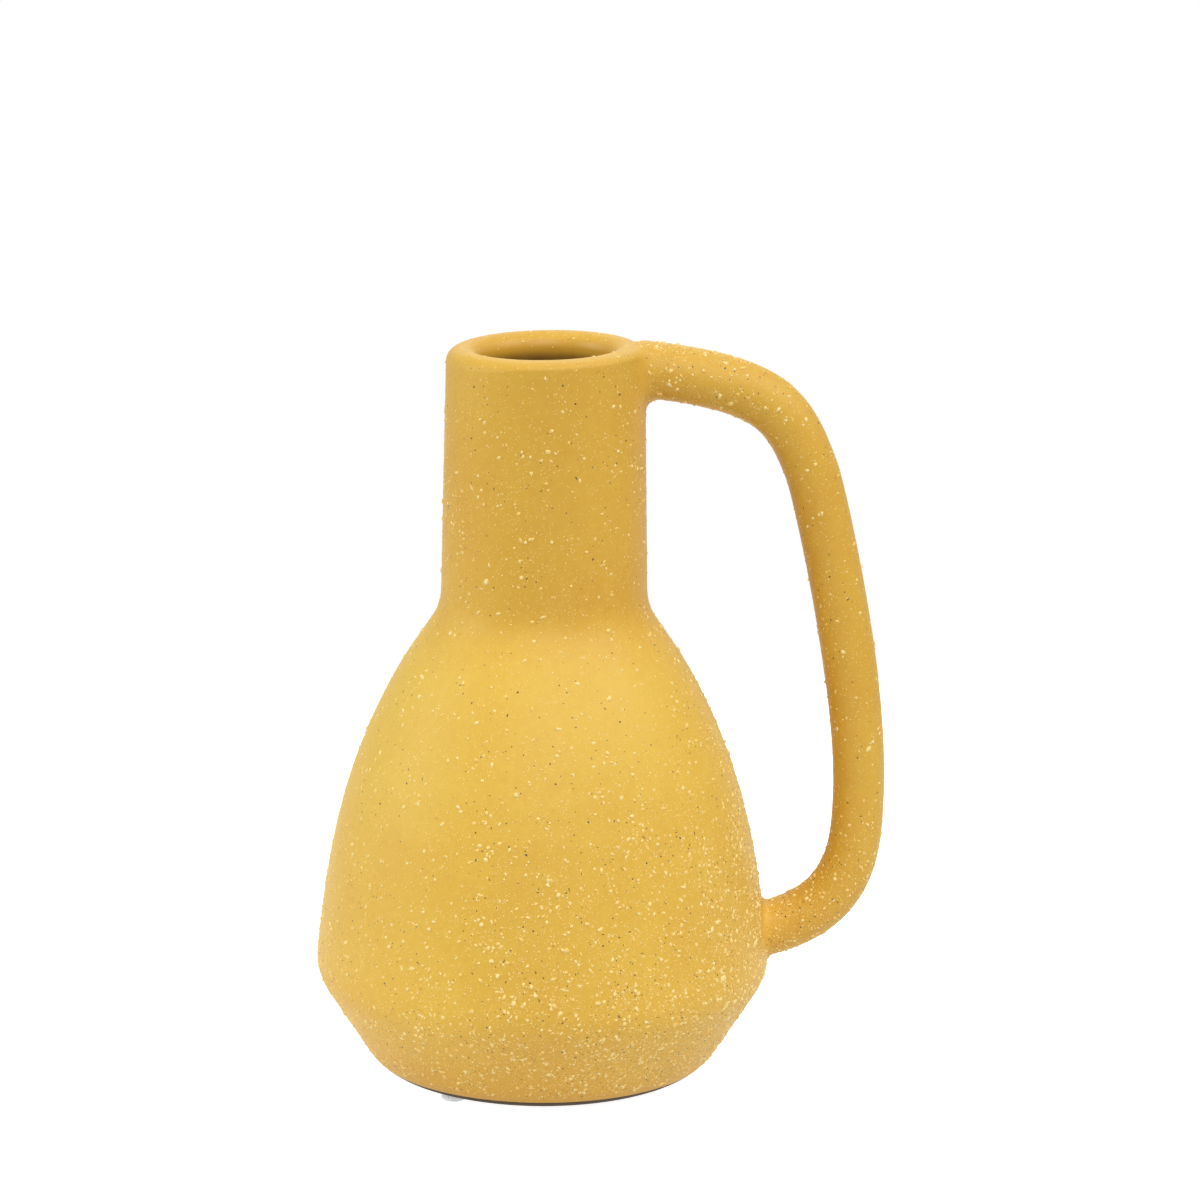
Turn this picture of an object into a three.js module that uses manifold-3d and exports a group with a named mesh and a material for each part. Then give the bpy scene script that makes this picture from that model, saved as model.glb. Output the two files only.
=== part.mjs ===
// Handled vase of glazed stoneware: a round vessel with a long rod handle, which is
// joined at the neck and at the belly with worked-in clay, on three clear bumpers.
// Millimetres, +Z up. The handle is on the +X side of the vessel's upright axis.

import * as THREE from 'three';
import { mergeVertices } from 'three/addons/utils/BufferGeometryUtils.js';
import Module from 'manifold-3d';

const wasm = await Module();
wasm.setup();

// Vessel: the outer form, measured from its underside
const vesselHeight = 227.7;
const footRadius = 50.7;
const footRounding = 14.1;
const footTrim = 0.3;
const keelRadius = 71.0;
const keelHeight = 31.5;
const keelRounding = 14.6;
const keelLean = 7.4;
const keelPull = 27.2;
const shoulderRadius = 31.8;
const shoulderHeight = 145.6;
const shoulderRounding = 17.6;
const shoulderLean = 38.4;
const shoulderPull = 54.6;
const neckRadius = 30.3;
const lipOuterReach = 5.2;
const lipOuterDrop = 4.5;
const lipInnerReach = 7.2;
const lipInnerDrop = 5.5;

// Vessel: the wall, the floor and the shallow recess underneath
const wallThickness = 6.5;
const floorThickness = 8;
const throatLength = 24;
const recessDepth = 1.5;
const recessDraft = 1.5;
const footRingWidth = 11;

// The rim leans: it rises towards the handle. The neck takes this up over a length below
// the rim, and the arm over a length beside the neck.
const rimLean = 1.25;
const rimLeanBelow = 45;
const rimLeanBeside = 40;

// Handle: a round rod, with its route in the plane of the vessel's axis
const upperRootDrop = 7.55;
const upperRootSlope = 5.0;
const upperArmPull = 40;
const gripTopReach = 51.5;
const gripTopDrop = 38.9;
const gripTopSlope = 69.3;
const gripTopPullBefore = 22.9;
const gripTopPullAfter = 5;
const gripBottomReach = 26.8;
const gripBottomRise = 54.3;
const gripBottomSlope = 91.7;
const gripBottomPullBefore = 36.6;
const gripBottomPullAfter = 15.7;
const lowerRootRise = 11.4;
const lowerRootSlope = 12.2;
const lowerArmPull = 30.2;
const upperRootRadius = 8.7;
const upperArmRadius = 8.8;
const gripTopRadius = 8.4;
const gripRadius = 8.4;
const gripBottomRadius = 8.1;
const lowerRootRadius = 8.7;
const rootDepth = 2.2;
const rootStub = 3;
const rootRounding = 5;
const rootSharpness = 0.8;

// Worked-in clay around the handle's two roots
const jointFillet = 2.6;
const filletEdge = 0.3;
const filletFade = 0.4;
const upperFilletSpan = 220;
const lowerFilletSpan = 360;

// Clear bumpers under the foot
const padCount = 3;
const padRadius = 4;
const padHeight = 2.5;
const padEdgeRounding = 0.6;
const padInset = 0.3;
const firstPadAngle = 230;

// Clearance between pieces that touch
const jointGap = 0.3;

// Fineness of the faceted surfaces
const turnSides = 52;
const rodSides = 20;
const rodSteps = 40;
const rootSteps = 3;
const padSides = 20;
const arcSteps = 5;
const bellySteps = 14;
const innerArcSteps = 3;
const innerBellySteps = 8;
const lipSteps = 8;
const throatSteps = 4;
const filletStep = 9;
const hollowSteps = 4;
const padArcSteps = 4;
const pointSpacing = 1;
const searchTurns = 30;
const weldDistance = 1e-4;

const radians = THREE.MathUtils.degToRad;
const at = (radius, height) => new THREE.Vector2(radius, height);
const leanIn = (degrees) => at(-Math.sin(radians(degrees)), Math.cos(radians(degrees)));

const ochreGlaze = { color: 0xd8a645, roughness: 0.82, metalness: 0 };
const clearSilicone = { color: 0xdfe3e4, roughness: 0.35, metalness: 0 };

const turned = (outline, sides) => new THREE.LatheGeometry(outline, sides).rotateX(Math.PI / 2);

const vase = new THREE.Group();

function addPiece(name, geometry, finish) {
  const piece = new THREE.Mesh(geometry, new THREE.MeshStandardMaterial(finish));
  piece.name = name;
  vase.add(piece);
  return piece;
}

// An arc that rounds the corner between two straight lines
function roundCorner(before, corner, after, radius, steps) {
  const back = before.clone().sub(corner).normalize();
  const onward = after.clone().sub(corner).normalize();
  const halfAngle = Math.acos(back.dot(onward)) / 2;
  const bisector = back.clone().add(onward).normalize();
  const centre = corner.clone().addScaledVector(bisector, radius / Math.sin(halfAngle));
  const tangent = radius / Math.tan(halfAngle);
  const from = corner.clone().addScaledVector(back, tangent).sub(centre).angle();
  const to = corner.clone().addScaledVector(onward, tangent).sub(centre).angle();
  const sweep = THREE.MathUtils.euclideanModulo(to - from + Math.PI, 2 * Math.PI) - Math.PI;
  const points = [];
  for (let i = 0; i <= steps; i++) {
    const angle = from + (sweep * i) / steps;
    points.push(at(Math.cos(angle), Math.sin(angle)).multiplyScalar(radius).add(centre));
  }
  return points;
}

// The outer outline from the edge of the underside up to the start of the lip
function wallOutline(cornerSteps, curveSteps) {
  const foot = at(footRadius, -footTrim);
  const keel = at(keelRadius, keelHeight);
  const shoulder = at(shoulderRadius, shoulderHeight);
  const neckTop = at(neckRadius, vesselHeight - lipOuterDrop);
  const bellyStart = leanIn(keelLean);
  const bellyEnd = leanIn(shoulderLean);
  const aboveKeel = keel.clone().addScaledVector(bellyStart, keelPull);
  const belowShoulder = shoulder.clone().addScaledVector(bellyEnd, -shoulderPull);
  const footArc = roundCorner(at(0, -footTrim), foot, keel, footRounding, cornerSteps);
  const keelArc = roundCorner(foot, keel, aboveKeel, keelRounding, cornerSteps);
  const shoulderArc = roundCorner(belowShoulder, shoulder, neckTop, shoulderRounding, cornerSteps);
  const belly = new THREE.CubicBezierCurve(keel, aboveKeel, belowShoulder, shoulder)
    .getPoints(curveSteps);
  const bellyLow = keelArc.at(-1).y + pointSpacing;
  const bellyHigh = shoulderArc[0].y - pointSpacing;
  const betweenArcs = belly.filter((p) => p.y > bellyLow && p.y < bellyHigh);
  const wall = [...footArc, ...keelArc, ...betweenArcs, ...shoulderArc, neckTop];
  const aboveUnderside = wall.filter((p) => p.y > 0);
  return [at(radiusAt(wall, 0), 0), ...aboveUnderside];
}

const outerWall = () => wallOutline(arcSteps, bellySteps);

// The radius of an outline at a height
function radiusAt(outline, height) {
  for (let i = 1; i < outline.length; i++) {
    const low = outline[i - 1];
    const high = outline[i];
    if (height >= low.y && height <= high.y && high.y > low.y) {
      return THREE.MathUtils.mapLinear(height, low.y, high.y, low.x, high.x);
    }
  }
  return outline.at(height < outline[0].y ? 0 : -1).x;
}

// An outline moved outwards along its normals, or inwards where the distance is negative
function offsetOutline(outline, distance) {
  return outline.map((p, i) => {
    const before = outline[Math.max(i - 1, 0)];
    const after = outline[Math.min(i + 1, outline.length - 1)];
    const along = after.clone().sub(before).normalize();
    return at(p.x + along.y * distance, p.y - along.x * distance);
  });
}

// The rounded lip, from its outer side over the crest to the mouth's bore. The crest lies
// near the outer side, and the lip slopes more gently from there into the mouth.
function lipArc(steps) {
  const crestRadius = neckRadius - lipOuterReach;
  const points = [];
  for (let i = 1; i <= steps; i++) {
    const angle = (Math.PI * i) / steps;
    const outside = i <= steps / 2;
    const reach = outside ? lipOuterReach : lipInnerReach;
    const drop = outside ? lipOuterDrop : lipInnerDrop;
    const height = vesselHeight - drop * (1 - Math.sin(angle));
    points.push(at(crestRadius + reach * Math.cos(angle), height));
  }
  return points;
}

// The vessel's whole section: underside, outer wall, lip, throat, inner wall and floor
function vesselOutline() {
  const outer = outerWall();
  const recessRadius = outer[0].x - footRingWidth;
  const recess = [at(0, recessDepth), at(recessRadius - recessDraft, recessDepth), at(recessRadius, 0)];
  const lip = lipArc(lipSteps);
  const boreEnd = lip.at(-1);
  const throatEnd = at(neckRadius - wallThickness, boreEnd.y - throatLength);
  const half = at(0, throatLength / 2);
  const throat = new THREE.CubicBezierCurve(
    boreEnd, boreEnd.clone().sub(half), throatEnd.clone().add(half), throatEnd,
  ).getPoints(throatSteps).slice(1);
  const inner = offsetOutline(wallOutline(innerArcSteps, innerBellySteps), -wallThickness);
  const innerTop = throatEnd.y - pointSpacing;
  const innerWall = inner.filter((p) => p.y > floorThickness && p.y < innerTop).reverse();
  const floor = [at(radiusAt(inner, floorThickness), floorThickness), at(0, floorThickness)];
  return [...recess, ...outer, ...lip, ...throat, ...innerWall, ...floor];
}

// The outer outline up to the lip's crest, grown by the gap that neighbours keep
function outerSkin() {
  const outerHalfOfLip = lipArc(lipSteps).slice(0, lipSteps / 2);
  return offsetOutline([...outerWall(), ...outerHalfOfLip], jointGap);
}

// The room that neighbours leave to the vessel: its outer form, filled and grown by the gap
function vesselKeepOut() {
  const top = at(0, vesselHeight + jointGap);
  return turned([at(0, -jointGap), ...outerSkin(), top], turnSides);
}

function toSolid(geometry) {
  const bare = geometry.clone();
  bare.deleteAttribute('normal');
  bare.deleteAttribute('uv');
  const merged = mergeVertices(bare, weldDistance);
  return new wasm.Manifold(new wasm.Mesh({
    numProp: 3,
    vertProperties: new Float32Array(merged.attributes.position.array),
    triVerts: new Uint32Array(merged.index.array),
  }));
}

function toGeometry(solid) {
  const mesh = solid.getMesh();
  const geometry = new THREE.BufferGeometry();
  geometry.setAttribute('position', new THREE.BufferAttribute(mesh.vertProperties, 3));
  geometry.setIndex(new THREE.BufferAttribute(mesh.triVerts, 1));
  geometry.computeVertexNormals();
  return geometry;
}

// A closed surface over rings of equal length: a tube with flat ends, or a ring that closes
function skinOver(rings, closesOnItself) {
  const count = rings[0].length;
  const positions = rings.flat().flatMap((p) => [p.x, p.y, p.z]);
  const faces = [];
  const joins = closesOnItself ? rings.length : rings.length - 1;
  for (let i = 0; i < joins; i++) {
    for (let j = 0; j < count; j++) {
      const a = i * count + j;
      const b = i * count + ((j + 1) % count);
      const c = ((i + 1) % rings.length) * count + j;
      const d = ((i + 1) % rings.length) * count + ((j + 1) % count);
      faces.push(a, c, b, b, c, d);
    }
  }
  if (!closesOnItself) {
    const last = (rings.length - 1) * count;
    for (let j = 1; j < count - 1; j++) {
      faces.push(0, j, j + 1);
      faces.push(last, last + j + 1, last + j);
    }
  }
  const geometry = new THREE.BufferGeometry();
  geometry.setAttribute('position', new THREE.Float32BufferAttribute(positions, 3));
  geometry.setIndex(faces);
  geometry.computeVertexNormals();
  return geometry;
}

const inPlane = (x, z) => new THREE.Vector3(x, 0, z);
const heading = (degreesDown) => inPlane(Math.cos(radians(degreesDown)), -Math.sin(radians(degreesDown)));

// The route of the rod: out of the neck, over the top bend, down the grip and into the belly
function handleRoute() {
  const wall = outerWall();
  const upperDirection = heading(upperRootSlope);
  const gripTopDirection = heading(gripTopSlope);
  const gripBottomDirection = heading(gripBottomSlope);
  const lowerDirection = heading(180 - lowerRootSlope);
  const lowerHeight = keelHeight + lowerRootRise;
  const upperRoot = inPlane(neckRadius - rootDepth, vesselHeight - upperRootDrop);
  const gripTop = inPlane(neckRadius + gripTopReach, vesselHeight - gripTopDrop);
  const gripBottom = inPlane(keelRadius + gripBottomReach, keelHeight + gripBottomRise);
  const lowerRoot = inPlane(radiusAt(wall, lowerHeight) - rootDepth, lowerHeight);
  const along = (from, direction, distance) => from.clone().addScaledVector(direction, distance);
  const route = new THREE.CurvePath();
  route.add(new THREE.LineCurve3(along(upperRoot, upperDirection, -rootStub), upperRoot));
  route.add(new THREE.CubicBezierCurve3(
    upperRoot, along(upperRoot, upperDirection, upperArmPull),
    along(gripTop, gripTopDirection, -gripTopPullBefore), gripTop,
  ));
  route.add(new THREE.CubicBezierCurve3(
    gripTop, along(gripTop, gripTopDirection, gripTopPullAfter),
    along(gripBottom, gripBottomDirection, -gripBottomPullBefore), gripBottom,
  ));
  route.add(new THREE.CubicBezierCurve3(
    gripBottom, along(gripBottom, gripBottomDirection, gripBottomPullAfter),
    along(lowerRoot, lowerDirection, -lowerArmPull), lowerRoot,
  ));
  route.add(new THREE.LineCurve3(lowerRoot, along(lowerRoot, lowerDirection, rootStub)));
  return route;
}

// The rod's radius at a distance along its route: it swells a little in both arms, and
// its upper end is rounded over, so that its top meets the lip without a step
function rodRadiusAt(route, distance) {
  const [upperRoot, gripTop, gripBottom, , end] = route.getCurveLengths();
  const stations = [
    [upperRoot, upperRootRadius], [(upperRoot + gripTop) / 2, upperArmRadius],
    [gripTop, gripTopRadius], [(gripTop + gripBottom) / 2, gripRadius],
    [gripBottom, gripBottomRadius], [end, lowerRootRadius],
  ];
  const next = stations.findIndex(([place]) => place >= distance);
  if (next < 0) return lowerRootRadius;
  const [high, highRadius] = stations[next];
  const [low, lowRadius] = stations[Math.max(next - 1, 0)];
  const radius = THREE.MathUtils.lerp(
    lowRadius, highRadius, THREE.MathUtils.smoothstep(distance, low, high),
  );
  const shortOfFull = rootSharpness * Math.max(1 - distance / rootRounding, 0);
  return radius * Math.sqrt(1 - shortOfFull ** 2);
}

// A point at a distance along the rod, at an angle round its girth from the top, and
// at a margin outside its surface
function onRod(route, distance, angle, margin) {
  const share = THREE.MathUtils.clamp(distance / route.getLength(), 0, 1);
  const sideways = new THREE.Vector3(0, 1, 0);
  const upward = route.getTangentAt(share).cross(sideways);
  const radius = rodRadiusAt(route, distance) + margin;
  return route.getPointAt(share)
    .addScaledVector(upward, radius * Math.cos(angle))
    .addScaledVector(sideways, radius * Math.sin(angle));
}

function handleRod(route) {
  const distances = [];
  for (let i = 0; i < rootSteps; i++) {
    distances.push((rootRounding * i) / rootSteps);
  }
  for (let i = 0; i <= rodSteps; i++) {
    distances.push(THREE.MathUtils.lerp(rootRounding, route.getLength(), i / rodSteps));
  }
  const rings = [];
  for (const distance of distances) {
    const ring = [];
    for (let j = 0; j < rodSides; j++) {
      ring.push(onRod(route, distance, (2 * Math.PI * j) / rodSides, 0));
    }
    rings.push(ring);
  }
  return skinOver(rings, false);
}

// A fillet of clay in the corner between the rod and the vessel, at the start or the end
// of the route. The span is how much of the rod's girth it goes round, about its underside.
function rootFillet(route, atEnd, spanDegrees) {
  const wall = outerSkin();
  const fromRoot = (distance) => (atEnd ? route.getLength() - distance : distance);
  const isClear = (p) => Math.hypot(p.x, p.y) > radiusAt(wall, p.z);
  const ontoWall = (p, margin) => {
    const grow = (radiusAt(wall, p.z) + margin) / Math.hypot(p.x, p.y);
    return new THREE.Vector3(p.x * grow, p.y * grow, p.z);
  };
  const undersideAngle = atEnd ? 0 : 180;
  const closed = spanDegrees >= 360;
  const steps = Math.round(spanDegrees / filletStep);
  const sections = [];
  for (let i = 0; i < (closed ? steps : steps + 1); i++) {
    const angle = radians(undersideAngle + spanDegrees * (i / steps - 0.5));
    let within = 0;
    let clear = rootStub + 2 * lowerRootRadius;
    for (let turn = 0; turn < searchTurns; turn++) {
      const middle = (within + clear) / 2;
      if (isClear(onRod(route, fromRoot(middle), angle, jointGap))) {
        clear = middle;
      } else {
        within = middle;
      }
    }
    const fade = closed ? 1 : THREE.MathUtils.lerp(filletFade, 1, Math.sin((Math.PI * i) / steps));
    const reach = jointFillet * fade;
    const corner = onRod(route, fromRoot(clear), angle, jointGap);
    const beyond = onRod(route, fromRoot(clear), angle, jointGap + reach);
    const rim = onRod(route, fromRoot(clear + reach), angle, jointGap + filletEdge);
    const bend = onRod(route, fromRoot(clear + filletEdge), angle, jointGap + filletEdge);
    const hollow = new THREE.QuadraticBezierCurve3(rim, bend, ontoWall(beyond, filletEdge));
    sections.push([
      ...hollow.getPoints(hollowSteps), ontoWall(beyond, 0), corner,
      onRod(route, fromRoot(clear + reach), angle, jointGap),
    ]);
  }
  return skinOver(atEnd ? sections.reverse() : sections, closed);
}

// Raises what lies on the handle's side of the rim, and lowers the other side as much
function leanRim(geometry) {
  const places = geometry.getAttribute('position');
  for (let i = 0; i < places.count; i++) {
    const x = places.getX(i);
    const z = places.getZ(i);
    const height = THREE.MathUtils.smoothstep(z, vesselHeight - rimLeanBelow, vesselHeight);
    const beyond = THREE.MathUtils.smoothstep(x, neckRadius, neckRadius + rimLeanBeside);
    const rise = Math.tan(radians(rimLean)) * Math.min(x, neckRadius) * (1 - beyond);
    places.setZ(i, z + rise * height);
  }
  geometry.computeVertexNormals();
  return geometry;
}

function bumper() {
  const lowerEdge = at(padRadius, 0);
  const upperEdge = at(padRadius, padHeight);
  const rounded = roundCorner(at(0, 0), lowerEdge, upperEdge, padEdgeRounding, padArcSteps);
  return turned([at(0, 0), ...rounded, upperEdge, at(0, padHeight)], padSides);
}

// The vessel
addPiece('vessel', leanRim(turned(vesselOutline(), turnSides)), ochreGlaze);

// The handle, trimmed where its roots meet the vessel
const route = handleRoute();
const trimmedRod = toSolid(handleRod(route)).subtract(toSolid(vesselKeepOut()));
addPiece('handle', leanRim(toGeometry(trimmedRod)), ochreGlaze);

// The worked-in clay at the handle's roots
const upperFillet = leanRim(rootFillet(route, false, upperFilletSpan));
addPiece('upper_joint_fillet', upperFillet, ochreGlaze);
addPiece('lower_joint_fillet', rootFillet(route, true, lowerFilletSpan), ochreGlaze);

// The clear bumpers, stuck flat to the foot ring just inside its edge
for (let i = 0; i < padCount; i++) {
  const angle = radians(firstPadAngle + (360 * i) / padCount);
  const distance = outerWall()[0].x - padInset - padRadius;
  const pad = addPiece(`foot_pad_${i + 1}`, bumper(), clearSilicone);
  pad.position.set(distance * Math.cos(angle), distance * Math.sin(angle), -padHeight);
}

// The origin is on the standing plane, at the middle of the whole outline
const extent = new THREE.Box3().setFromObject(vase, true);
const middle = extent.getCenter(new THREE.Vector3());
vase.position.set(-middle.x, -middle.y, -extent.min.z);

const group = new THREE.Group();
group.add(vase);
group.updateMatrixWorld(true);

export default group;
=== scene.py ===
"""Handled vase of gritty matte stoneware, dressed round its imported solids.

Lengths are given in millimetres times MM, so every value and every mesh is in metres. The
vessel and the handle are worked out round the vessel's upright axis, with heights from its
underside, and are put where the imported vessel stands. The handle is on the +X side.
"""

import math

import bpy
import numpy as np
from mathutils import Matrix, Vector, noise


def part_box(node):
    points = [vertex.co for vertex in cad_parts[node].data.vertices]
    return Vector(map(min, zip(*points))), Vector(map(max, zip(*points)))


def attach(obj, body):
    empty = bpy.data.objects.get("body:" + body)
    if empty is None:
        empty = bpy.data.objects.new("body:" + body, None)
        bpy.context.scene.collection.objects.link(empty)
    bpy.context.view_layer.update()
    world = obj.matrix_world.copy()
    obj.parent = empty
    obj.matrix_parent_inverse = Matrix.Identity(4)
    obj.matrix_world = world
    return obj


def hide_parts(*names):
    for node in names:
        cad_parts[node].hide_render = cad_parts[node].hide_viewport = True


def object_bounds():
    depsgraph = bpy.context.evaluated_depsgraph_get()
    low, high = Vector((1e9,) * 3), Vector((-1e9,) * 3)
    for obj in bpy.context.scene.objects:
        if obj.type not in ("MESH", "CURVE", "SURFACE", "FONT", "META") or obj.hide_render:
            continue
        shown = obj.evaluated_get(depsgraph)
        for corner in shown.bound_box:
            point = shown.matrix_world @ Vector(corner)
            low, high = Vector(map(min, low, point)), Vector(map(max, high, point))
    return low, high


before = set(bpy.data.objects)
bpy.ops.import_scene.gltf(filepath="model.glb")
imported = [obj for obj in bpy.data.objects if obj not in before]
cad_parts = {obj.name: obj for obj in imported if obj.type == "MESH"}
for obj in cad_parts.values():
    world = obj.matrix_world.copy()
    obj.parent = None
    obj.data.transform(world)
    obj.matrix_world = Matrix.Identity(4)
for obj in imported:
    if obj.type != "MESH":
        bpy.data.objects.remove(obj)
CAD_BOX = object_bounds()

bl_info = {
    "name": "Handled vase",
    "version": (1, 0, 0),
    "blender": (4, 5, 0),
    "location": "3D View > Sidebar > Vase",
    "description": "Dresses a handled vase in gritty ochre glaze and sets it on a pale stage",
    "category": "Add Mesh",
}

MM = 0.001
SENSOR_WIDTH = 36.0
WHITE = (1.0, 1.0, 1.0, 1.0)


def linear(hex_colour):
    """The linear colour that an sRGB hex value such as #D8A645 stands for."""
    parts = [int(hex_colour[i:i + 2], 16) / 255 for i in (1, 3, 5)]
    return tuple(c / 12.92 if c <= 0.04045 else ((c + 0.055) / 1.055) ** 2.4 for c in parts)


# Properties

def length(name, description, millimetres):
    return bpy.props.FloatProperty(
        name=name, description=description, default=millimetres * MM, unit="LENGTH", precision=4)


def angle(name, description, degrees):
    return bpy.props.FloatProperty(
        name=name, description=description, default=math.radians(degrees), subtype="ANGLE")


def number(name, description, default, lowest=0.0):
    return bpy.props.FloatProperty(
        name=name, description=description, default=default, min=lowest)


def count(name, description, default):
    return bpy.props.IntProperty(name=name, description=description, default=default, min=1)


def colour(name, description, hex_colour):
    return bpy.props.FloatVectorProperty(
        name=name, description=description, default=linear(hex_colour), subtype="COLOR",
        min=0.0, max=1.0)


class VesselSizes(bpy.types.PropertyGroup):
    """The turned body: its outer outline, its wall and its throwing rings."""
    height: length("Height", "Height of the rim's middle above the underside", 227.7)
    foot_radius: length("Foot radius", "Where the undercut's line meets the standing plane", 50.7)
    foot_rounding: length("Foot rounding", "Radius of the foot's rounded edge", 14.1)
    foot_trim: length("Foot trim", "How much of the rounded foot is trimmed flat", 0.3)
    keel_radius: length("Keel radius", "Radius of the widest corner before rounding", 71.0)
    keel_height: length("Keel height", "Height of the widest corner", 31.5)
    keel_rounding: length("Keel rounding", "Radius of the rounded keel", 14.6)
    keel_lean: angle("Keel lean", "How far the belly leans in just above the keel", 7.4)
    keel_pull: length("Keel pull", "How far the belly keeps the keel's lean", 27.2)
    shoulder_radius: length("Shoulder radius", "Radius where the belly meets the neck", 31.8)
    shoulder_height: length("Shoulder height", "Height where the belly meets the neck", 145.6)
    shoulder_rounding: length("Shoulder rounding", "Radius of the hollow at the shoulder", 17.6)
    shoulder_lean: angle("Shoulder lean", "How far the belly leans in below the neck", 38.4)
    shoulder_pull: length("Shoulder pull", "How far the belly keeps the shoulder's lean", 54.6)
    neck_radius: length("Neck radius", "Outer radius of the neck at the lip", 30.3)
    lip_outer_reach: length("Lip outer reach", "From the neck's side to the lip's crest", 5.2)
    lip_outer_drop: length("Lip outer drop", "Height of the lip's outer rounding", 4.2)
    lip_inner_reach: length("Lip inner reach", "From the lip's crest to the mouth's bore", 4.7)
    lip_inner_drop: length("Lip inner drop", "Depth of the lip's slope into the mouth", 4.8)
    rim_lean: angle("Rim lean", "How far the rim rises towards the handle", 1.25)
    lean_below: length("Lean below", "Height over which the neck takes up the lean", 45.0)
    lean_beside: length("Lean beside", "Length over which the arm takes up the lean", 40.0)
    lip_pinch: number("Lip pinch", "How much tighter the lip's rounding is on one side", 0.45)
    pinch_way: angle("Pinch way", "The middle of the pinched side, counted from the handle", -60.0)
    wall: length("Wall", "Thickness of the wall", 6.5)
    floor: length("Floor", "Thickness of the floor", 8.0)
    floor_rounding: length("Floor rounding", "Radius of the inner corner at the floor", 4.0)
    throat: length("Throat", "How far below the lip the bore reaches the wall's thickness", 24.0)
    recess: length("Recess", "Depth of the hollow under the foot", 1.5)
    recess_rounding: length("Recess rounding", "Radius of the recess's wiped corners", 0.5)
    foot_ring: length("Foot ring", "Width of the ring that the vessel stands on", 11.0)
    # Painted shadow: up to this height the foot's edge is painted dark brown, where it turns under
    # into its shadow.
    painted_foot_shadow_height: length("Wiped edge", "Height up to which the foot is wiped free of glaze", 3.2)
    grit_room: length("Grit room", "How far the belly lies inside the packed solid", 0.12)
    ring_depth: length("Ring depth", "Depth of the throwing rings on the belly", 0.09)
    ring_spacing: length("Ring spacing", "Height from one throwing ring to the next", 10.5)
    ring_middle: length("Ring middle", "Height round which the throwing rings show most", 92.0)
    ring_reach: length("Ring reach", "Height over which the throwing rings fade", 26.0)
    spacing: length("Spacing", "Distance between the outline's points", 1.2)
    sides: count("Sides", "Points round the vessel", 240)


class HandleSizes(bpy.types.PropertyGroup):
    """The rod: its route in the plane of the vessel's axis, its radii and its joints."""
    upper_drop: length("Upper drop", "Depth of the upper root's middle below the rim", 7.55)
    upper_slope: angle("Upper slope", "How steeply the rod leaves the neck", 5.0)
    upper_pull: length("Upper pull", "How far the arm keeps that slope", 40.0)
    grip_top_reach: length("Grip top reach", "Distance of the grip's top from the neck", 51.5)
    grip_top_drop: length("Grip top drop", "Depth of the grip's top below the rim", 38.9)
    grip_top_slope: angle("Grip top slope", "Slope at the top of the grip", 69.3)
    grip_top_before: length("Grip top pull before", "How far the arm bends before it", 22.9)
    grip_top_after: length("Grip top pull after", "How far the grip bends after it", 5.0)
    grip_low_reach: length("Grip bottom reach", "Distance of the grip's end from the keel", 26.8)
    grip_low_rise: length("Grip bottom rise", "Height of the grip's end above the keel", 54.3)
    grip_low_slope: angle("Grip bottom slope", "Slope at the bottom of the grip", 91.7)
    grip_low_before: length("Grip bottom pull before", "How far the grip bends before it", 36.6)
    grip_low_after: length("Grip bottom pull after", "How far the arm bends after it", 15.7)
    lower_rise: length("Lower rise", "Height of the lower root's middle above the keel", 11.4)
    lower_slope: angle("Lower slope", "How steeply the rod runs into the belly", 12.2)
    lower_pull: length("Lower pull", "How far the lower arm keeps that slope", 30.2)
    upper_root_radius: length("Upper root radius", "Rod's radius at the neck", 8.7)
    upper_arm_radius: length("Upper arm radius", "Rod's radius in the upper arm", 8.8)
    grip_top_radius: length("Grip top radius", "Rod's radius at the grip's top", 8.4)
    grip_radius: length("Grip radius", "Rod's radius in the grip", 8.4)
    grip_low_radius: length("Grip bottom radius", "Rod's radius at the grip's bottom", 8.1)
    lower_root_radius: length("Lower root radius", "Rod's radius at the belly", 8.7)
    grit_room: length("Grit room", "How far the rod lies inside the packed solid", 0.15)
    root_depth: length("Root depth", "How far the rod reaches into the wall", 2.2)
    root_stub: length("Root stub", "Straight length of the rod inside the wall", 3.0)
    root_rounding: length("Root rounding", "Length over which the upper end is rounded", 5.0)
    root_sharpness: number("Root sharpness", "How much the upper end is narrowed", 0.8)
    upper_fillet: length("Upper fillet", "Reach of the worked-in clay at the neck", 5.5)
    crest_fillet: length("Crest fillet", "Reach of the worked-in clay over the lip", 8.5)
    lower_fillet: length("Lower fillet", "Reach of the worked-in clay at the belly", 2.6)
    spacing: length("Spacing", "Distance between the rod's rings", 1.0)
    sides: count("Sides", "Points round the rod", 80)


class GritSizes(bpy.types.PropertyGroup):
    """The raised grains and dark specks in the glaze."""
    crowding: number("Crowding", "Grains on a square centimetre where they lie thickest", 175.0)
    smallest: length("Smallest grain", "Least radius of a grain", 0.13)
    typical: length("Typical grain", "Middle radius of the grains", 0.2)
    largest: length("Largest grain", "Greatest radius of a grain", 0.8)
    spread: number("Spread", "How widely the grains' sizes vary", 0.56)
    coarse: length("Coarse grain", "Radius from which a grain is shaped more finely", 0.42)
    clump: length("Clump", "Distance over which the crowding changes", 12.0)
    # The dark specks are iron specks and, in part, painted shade for the small shadows beside
    # raised grains, so they crowd where the grit does.
    speck_crowding: number("Speck crowding", "Dark specks where the grit lies thickest", 12.0)
    speck: length("Speck", "Middle radius of the dark specks", 0.26)
    seed: count("Seed", "Start of the random draws", 7)


class BumperSizes(bpy.types.PropertyGroup):
    """The clear bumpers under the foot."""
    edge_rounding: length("Edge rounding", "Radius of the bumper's lower edge", 0.6)
    draft: length("Draft", "How much narrower the bumper is at its foot", 0.25)
    sides: count("Sides", "Points round a bumper", 64)


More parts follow.
